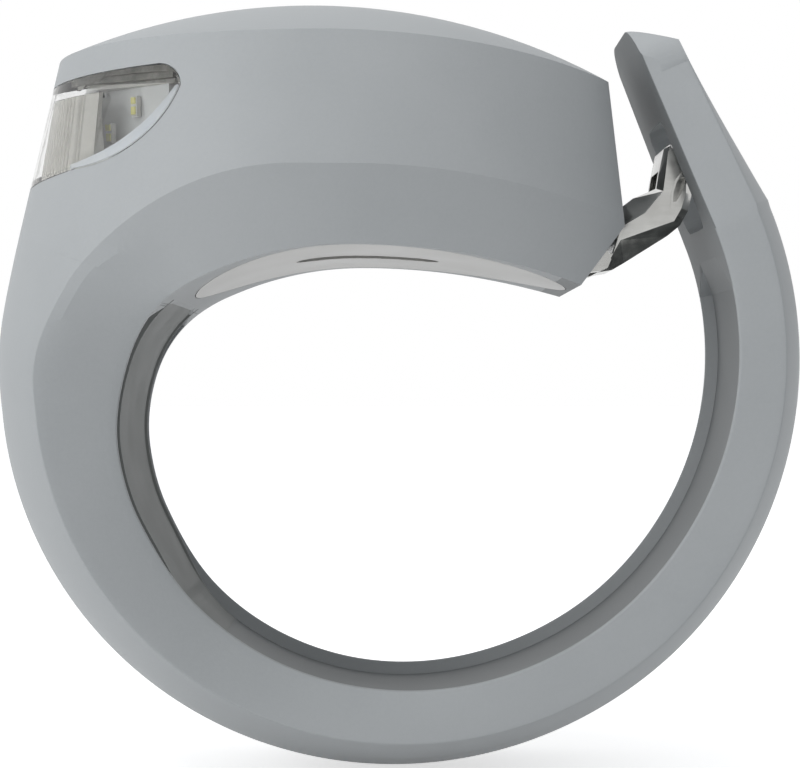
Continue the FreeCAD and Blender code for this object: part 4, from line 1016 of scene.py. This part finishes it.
# %% Lay the grip pad
pad_start, pad_end, pad_steps, pad_margin = 161, 232, 60, 1.15
rim_wide, rim_high = 0.28, 0.14
pad_top, pad_top_end, pad_bottom = 0.12, 0.62, 0.85


def inner_reach(angle):
    if angle < join_angle:
        return turn_reach(angle)
    return ring_radius + smooth_path(inner_shift, angle)


pad_rings = []
for share in shares(pad_steps):
    angle = mix(pad_start, pad_end, share)
    out = outward(angle)
    sunk = mix(pad_top, pad_top_end, smooth_path([(0.7, 0), (1, 1)], share))
    top = ring_centre + out * (inner_reach(angle) + sunk)
    low = ring_centre + out * (inner_reach(angle) + pad_bottom)
    half = lip_at(angle) - pad_margin
    raised = top - out * (rim_high * (1 - smooth_path([(0.75, 0), (0.95, 1)], share)))
    near_edge = [
        low - across * half, raised - across * half,
        raised - across * (half - rim_wide * 0.6), top - across * (half - rim_wide),
    ]
    pad_rings.append(near_edge + mirrored(near_edge))
pad = ring_body("grip_pad", pad_rings)
dress(pad, "pad_rubber", smooth=25)
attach(pad, "head")
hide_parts("strap_pad")
print("grip pad:", len(pad.data.polygons), "faces")

# %% [markdown]
# ## The lamp's tray
# Behind the lens a moulded tray holds a bent white board. It has stepped ledges above and a floor below,
# whose outlines follow the board, and ribbed flanks in front that spread the light. It is made of flat
# slabs joined to one piece, as the tool for such a tray is cut in flat steps.

# %% Model the tray's ledges
board_nose, nose_half, wing_end, wing_half = -17.8, 4.6, -13.0, 8.4
tray_floor, tray_deck, ledge_back = 10.45, 10.85, 1.0


def strip_outline(offset):
    """Plan of the bent board, moved outwards by the offset and with a thickness inwards."""
    wing = (wing_end - offset * 0.2, wing_half + offset)
    nose = (board_nose - offset, nose_half + offset * 0.6)
    inner = [(wing_end + 1, wing_half - ledge_back), (board_nose + ledge_back, nose_half - ledge_back * 0.6)]
    loop = [(x, -y) for x, y in (wing, nose)] + [nose, wing]
    return loop + inner + [(x, -y) for x, y in reversed(inner)]


tray = slab("ledges", strip_outline(0.9), 16.1, 16.45)
for offset, low, high in ((0.6, 15.75, 16.15), (0.32, 15.5, 15.8), (0.7, tray_floor, tray_deck)):
    combine(tray, slab("ledge", strip_outline(offset), low, high), "UNION")
print("tray ledges:", len(tray.data.polygons), "faces")

# %% Model the ribbed flanks
flank_path = [(-17.15, 7.25), (-18.7, 6.35), (-19.35, 5.55), (-19.85, 4.6), (-20.15, 3.6)]
flank_steps, flank_wall, flank_top = 60, 0.35, 15.25
rib_high, rib_steps, plain_steps, ledge_foot = 0.09, 5, 8, 15.65


def flank_point(share):
    place = share * (len(flank_path) - 1)
    index = min(int(place), len(flank_path) - 2)
    (x0, y0), (x1, y1) = flank_path[index], flank_path[index + 1]
    return mix(x0, x1, place - index), mix(y0, y1, place - index)


flanks = []
for side in (-1, 1):
    outer_loop, inner_loop = [], []
    for step in range(flank_steps + 1):
        x, y = flank_point(step / flank_steps)
        rib = rib_high * abs(sin(step * pi / rib_steps)) if step > plain_steps else 0.0
        outer_loop.append((x - rib * 0.6, side * (y + rib)))
        inner_loop.append((x + flank_wall, side * (y - flank_wall)))
    loop = outer_loop + inner_loop[::-1]
    flanks.append(slab("flank", loop if side < 0 else loop[::-1], tray_deck, flank_top))
for flank in flanks:
    combine(tray, flank, "UNION")
tray.name = "lamp_tray"
dress(tray, "tray_plastic", "ledge_plastic", pick=lambda face: face.center.z > ledge_foot)
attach(tray, "head")
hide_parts("reflector")
print("tray:", len(tray.data.polygons), "faces")

# %% [markdown]
# ## The chips
# The board carries six small light-emitting chips: white packages, each with two patches of yellow
# phosphor. Two look forward and four look out to the sides, so that the light is also seen from there.
# Each is a cube with bevelled edges, turned to look ahead from its own part of the board, and all are
# joined into one piece. Two dark marks a side are what is seen of the board's other parts.

# %% Model the chips
def block(name, place, sizes, turn):
    """A small box with softened edges, turned about the upright line through its middle."""
    bpy.ops.object.select_all(action="DESELECT")
    bpy.ops.mesh.primitive_cube_add(size=1, location=place, rotation=(0, 0, turn))
    piece = bpy.context.object
    piece.name = name
    piece.scale = sizes
    bpy.ops.object.transform_apply(location=True, rotation=True, scale=True)
    bpy.ops.object.mode_set(mode="EDIT")
    bpy.ops.mesh.select_all(action="SELECT")
    bpy.ops.mesh.bevel(offset=min(sizes) * 0.15, segments=2)
    bpy.ops.object.mode_set(mode="OBJECT")
    return piece


wing_x, wing_y = -0.62, 0.785
package_sizes = (0.3, 0.42, 1.1)
patches = ((0.3, 0.34), (-0.22, 0.42))  # height above the package's middle, and length
chips = []
for side in (-1, 1):
    aslant = Vector((wing_x, side * wing_y, 0))
    spots = [(board_nose, side * 2.6, 13.6, Vector((-1, 0, 0)))]
    for share, height in ((0.26, 13.15), (0.56, 14.45)):
        x, y = mix(board_nose, wing_end, share), side * mix(nose_half, wing_half, share)
        spots.append((x, y, height, aslant))
    for x, y, z, ahead in spots:
        middle = Vector((x, y, z)) + ahead * 0.2
        turn = atan2(ahead.y, ahead.x)
        package = block("package", middle, package_sizes, turn)
        package.data.materials.append(paint["white_moulding"])
        for rise, tall in patches:
            glow = block("glow", middle + ahead * 0.16 + Vector((0, 0, rise)), (0.12, 0.3, tall), turn)
            glow.data.materials.append(paint["phosphor"])
            chips.append(glow)
        chips.append(package)
    for x, height in ((-17.2, 15.3), (-17.42, 14.7)):
        y = side * (nose_half + (x - board_nose) * (wing_half - nose_half) / (wing_end - board_nose) + 0.08)
        mark = block("mark", (x, y, height), (0.3, 0.16, 0.3), atan2(wing_y, side * wing_x))
        mark.data.materials.append(paint["chip_resin"])
        chips.append(mark)
choose(chips[-1], *chips[:-1])
bpy.ops.object.join()
chip_set = bpy.context.object
chip_set.name = "lamp_chips"
to_real_size(chip_set)
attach(chip_set, "head")
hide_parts("leds")
print("chips:", len(chip_set.data.polygons), "faces")

# %% [markdown]
# ## The clear post
# A small faceted post of clear plastic stands at the nose of the ledges and glitters through the lens. Its glints
# are partly painted: its colour runs in fine patches from dark grey to near white, on a partly metallic surface.
# It is a stack of eight-sided rings, and every other waist is turned by half a facet, as on cut glass.

# %% Turn the faceted post
post_x, facets, half_facet = -18.95, 8, 0.39
post_rings = [
    (0.42, 17.0, 0), (0.5, 16.6, 0), (0.26, 16.2, half_facet), (0.44, 15.95, 0),
    (0.48, 15.65, half_facet), (0.36, 15.3, 0), (0.12, 15.1, 0),
]


def round_ring(centre, radius, height, twist):
    angles = [tau * k / facets + twist for k in range(facets)]
    return [at(centre + radius * cos(angle), height, radius * sin(angle)) for angle in angles]


post = ring_body("clear_post", [round_ring(post_x, *values) for values in post_rings])
dress(post, "post_painted_glints")
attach(post, "head")
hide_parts("light_pipe")
print("post:", len(post.data.polygons), "faces")

# %% [markdown]
# ## The lens's lower rim
# Where the lens meets the moulding its edge is bevelled, and the bevel catches the light as a bright line. The
# CAD lens has a square edge, so a thin three-sided strip is laid along it on each side, and its pale blue-white
# colour is a painted highlight for that bright line. It starts and ends narrow and is widest in the belly of the
# leaf.

# %% Bevel the lens's lower rim
rim_widest, rim_overlap, rim_skin, rim_deep = 0.52, 0.05, 0.75, 1.55
lens_middle = at(-15, 16)
last = len(rim_curve) - 1
for side, label in ((-1, "left"), (1, "right")):
    rings = []
    for index, place in enumerate(rim_curve):
        along = (rim_curve[min(index + 1, last)] - rim_curve[max(index - 1, 0)]).normalized()
        inward = Vector((along.z, 0, -along.x))
        if inward.dot(lens_middle - place) < 0:
            inward = -inward
        width = rim_widest * sin(pi * min(0.04 + index / last * 0.88, 1)) ** 0.6
        skin = across * (side * (outer_half_width(place) - rim_skin))
        deep = across * (side * (outer_half_width(place) - rim_deep))
        rings.append([
            place - inward * rim_overlap + skin, place + inward * width + deep,
            place - inward * rim_overlap + deep,
        ])
    rim = ring_body("lens_rim_" + label, rings)
    dress(rim, "lens_rim_painted_highlight", smooth=25)
    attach(rim, "head")
    print("lens rim:", len(rim.data.polygons), "faces")

# %% [markdown]
# ## The metal hook
# The hook is folded from polished steel sheet: two flanks slope out from the fold lines, a tooth at the end
# catches the strap's slot, and an eye near the elbow lightens it. It is drawn here from its outline seen from the
# side: the full outline lies a little inside, and a smaller one stands out on each flank, so that the slopes
# between them become the folds. The edges are then softened with a bevel. Polished metal shows the room, and this
# is painted into its colour: faces that look up get a lighter copy of the steel as a painted highlight, and faces
# that look down or lie in the eye get a darker copy as painted shade.

# %% Fold the hook
pin_place = at(9.3, 6.75)
hook_full = [
    (0, -0.65), (0.85, -0.5), (1.5, -0.12), (3.9, 1.38), (4.6, 1.95), (5.05, 2.75), (5.25, 3.65),
    (5.25, 4.6), (5.1, 5.35), (4.75, 5.85), (4.02, 6.5), (3.72, 6.2), (3.42, 4.75), (3.3, 4.0),
    (2.0, 3.45), (1.35, 2.95), (1.1, 1.0), (0.85, 0.45), (0.45, 0.45), (0, 0.3),
]
hook_flank = [
    (0.1, -0.15), (0.7, 0.1), (1.25, 1.1), (3.2, 1.8), (4.2, 2.15), (4.6, 2.85), (4.85, 3.7),
    (4.85, 4.55), (4.8, 5.1), (4.5, 5.6), (4.0, 6.3), (3.86, 5.9), (3.72, 4.7), (3.6, 3.8),
    (2.6, 2.6), (1.5, 1.95), (1.2, 1.5), (0.85, 0.38), (0.45, 0.36), (0.1, 0.2),
]
hook_inside = [
    (1.9, 1.0), (3.5, 2.1), (4.05, 2.65), (4.35, 3.3), (4.45, 4.1),
    (4.2, 4.9), (3.4, 5.0), (2.6, 5.0), (0.4, 3.6), (0.4, 1.4),
]
hook_eye = [
    (4.12, 3.2), (4.3, 3.22), (4.62, 3.72), (4.78, 4.25),
    (4.8, 4.52), (4.6, 4.6), (4.34, 4.3), (4.16, 3.75),
]
boss_rings = ((0.62, 2.6), (0.62, 3.18), (0.52, 3.26), (0.2, 3.3))  # radius, and distance from the middle
flank_out, fold_out, inside_half, eye_rim_size, boss_points = 3.0, 2.25, 1.75, 1.45, 24


def hook_loop(outline, y, grow=1.0):
    middle = sum((at(x, z) for x, z in outline), Vector()) / len(outline)
    return [pin_place + middle + (at(x, z) - middle) * grow + across * y for x, z in outline]


hook_widths = [(hook_flank, -flank_out), (hook_full, -fold_out), (hook_full, fold_out), (hook_flank, flank_out)]
hook = ring_body("hook", [hook_loop(outline, y) for outline, y in hook_widths])
inside = ring_body("inside", [hook_loop(hook_inside, y) for y in (-inside_half, inside_half)])
combine(hook, inside, "DIFFERENCE")
for side in (-1, 1):
    eye_rim = ring_body("eye_rim", [hook_loop(hook_eye, side * y, eye_rim_size) for y in (2.8, 3.1)])
    combine(hook, eye_rim, "UNION")
    combine(hook, ring_body("eye", [hook_loop(hook_eye, side * y) for y in (2.3, 3.4)]), "DIFFERENCE")
    boss = ring_body("boss", [
        [pin_place + outward(360 * k / boss_points) * radius + across * (side * y) for k in range(boss_points)]
        for radius, y in boss_rings
    ])
    combine(hook, boss, "UNION")
print("hook before its bevel:", len(hook.data.polygons), "faces")

# %% Soften and polish the hook
def hook_painted_light(face):
    """2, painted shade, for faces that look down or lie in the eye; 1, painted highlight, for those that look up.
    """
    place, normal = face.center - pin_place, face.normal
    in_eye = abs(face.center.y) < 2.6 and abs(normal.y) > 0.9 and place.x > 4 and 3.2 < place.z < 4.6
    if normal.z < -0.28 or in_eye:
        return 2
    return normal.z > 0.3


choose(hook)
soften = hook.modifiers.new("soften", "BEVEL")
soften.width = 0.06
soften.segments = 2
soften.limit_method = "ANGLE"
soften.angle_limit = radians(18)
bpy.ops.object.modifier_apply(modifier=soften.name)
dress(hook, "chrome", "chrome_painted_highlight", "chrome_painted_shade", pick=hook_painted_light, smooth=14)
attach(hook, "clasp")
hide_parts("clasp")
print("hook:", len(hook.data.polygons), "faces")
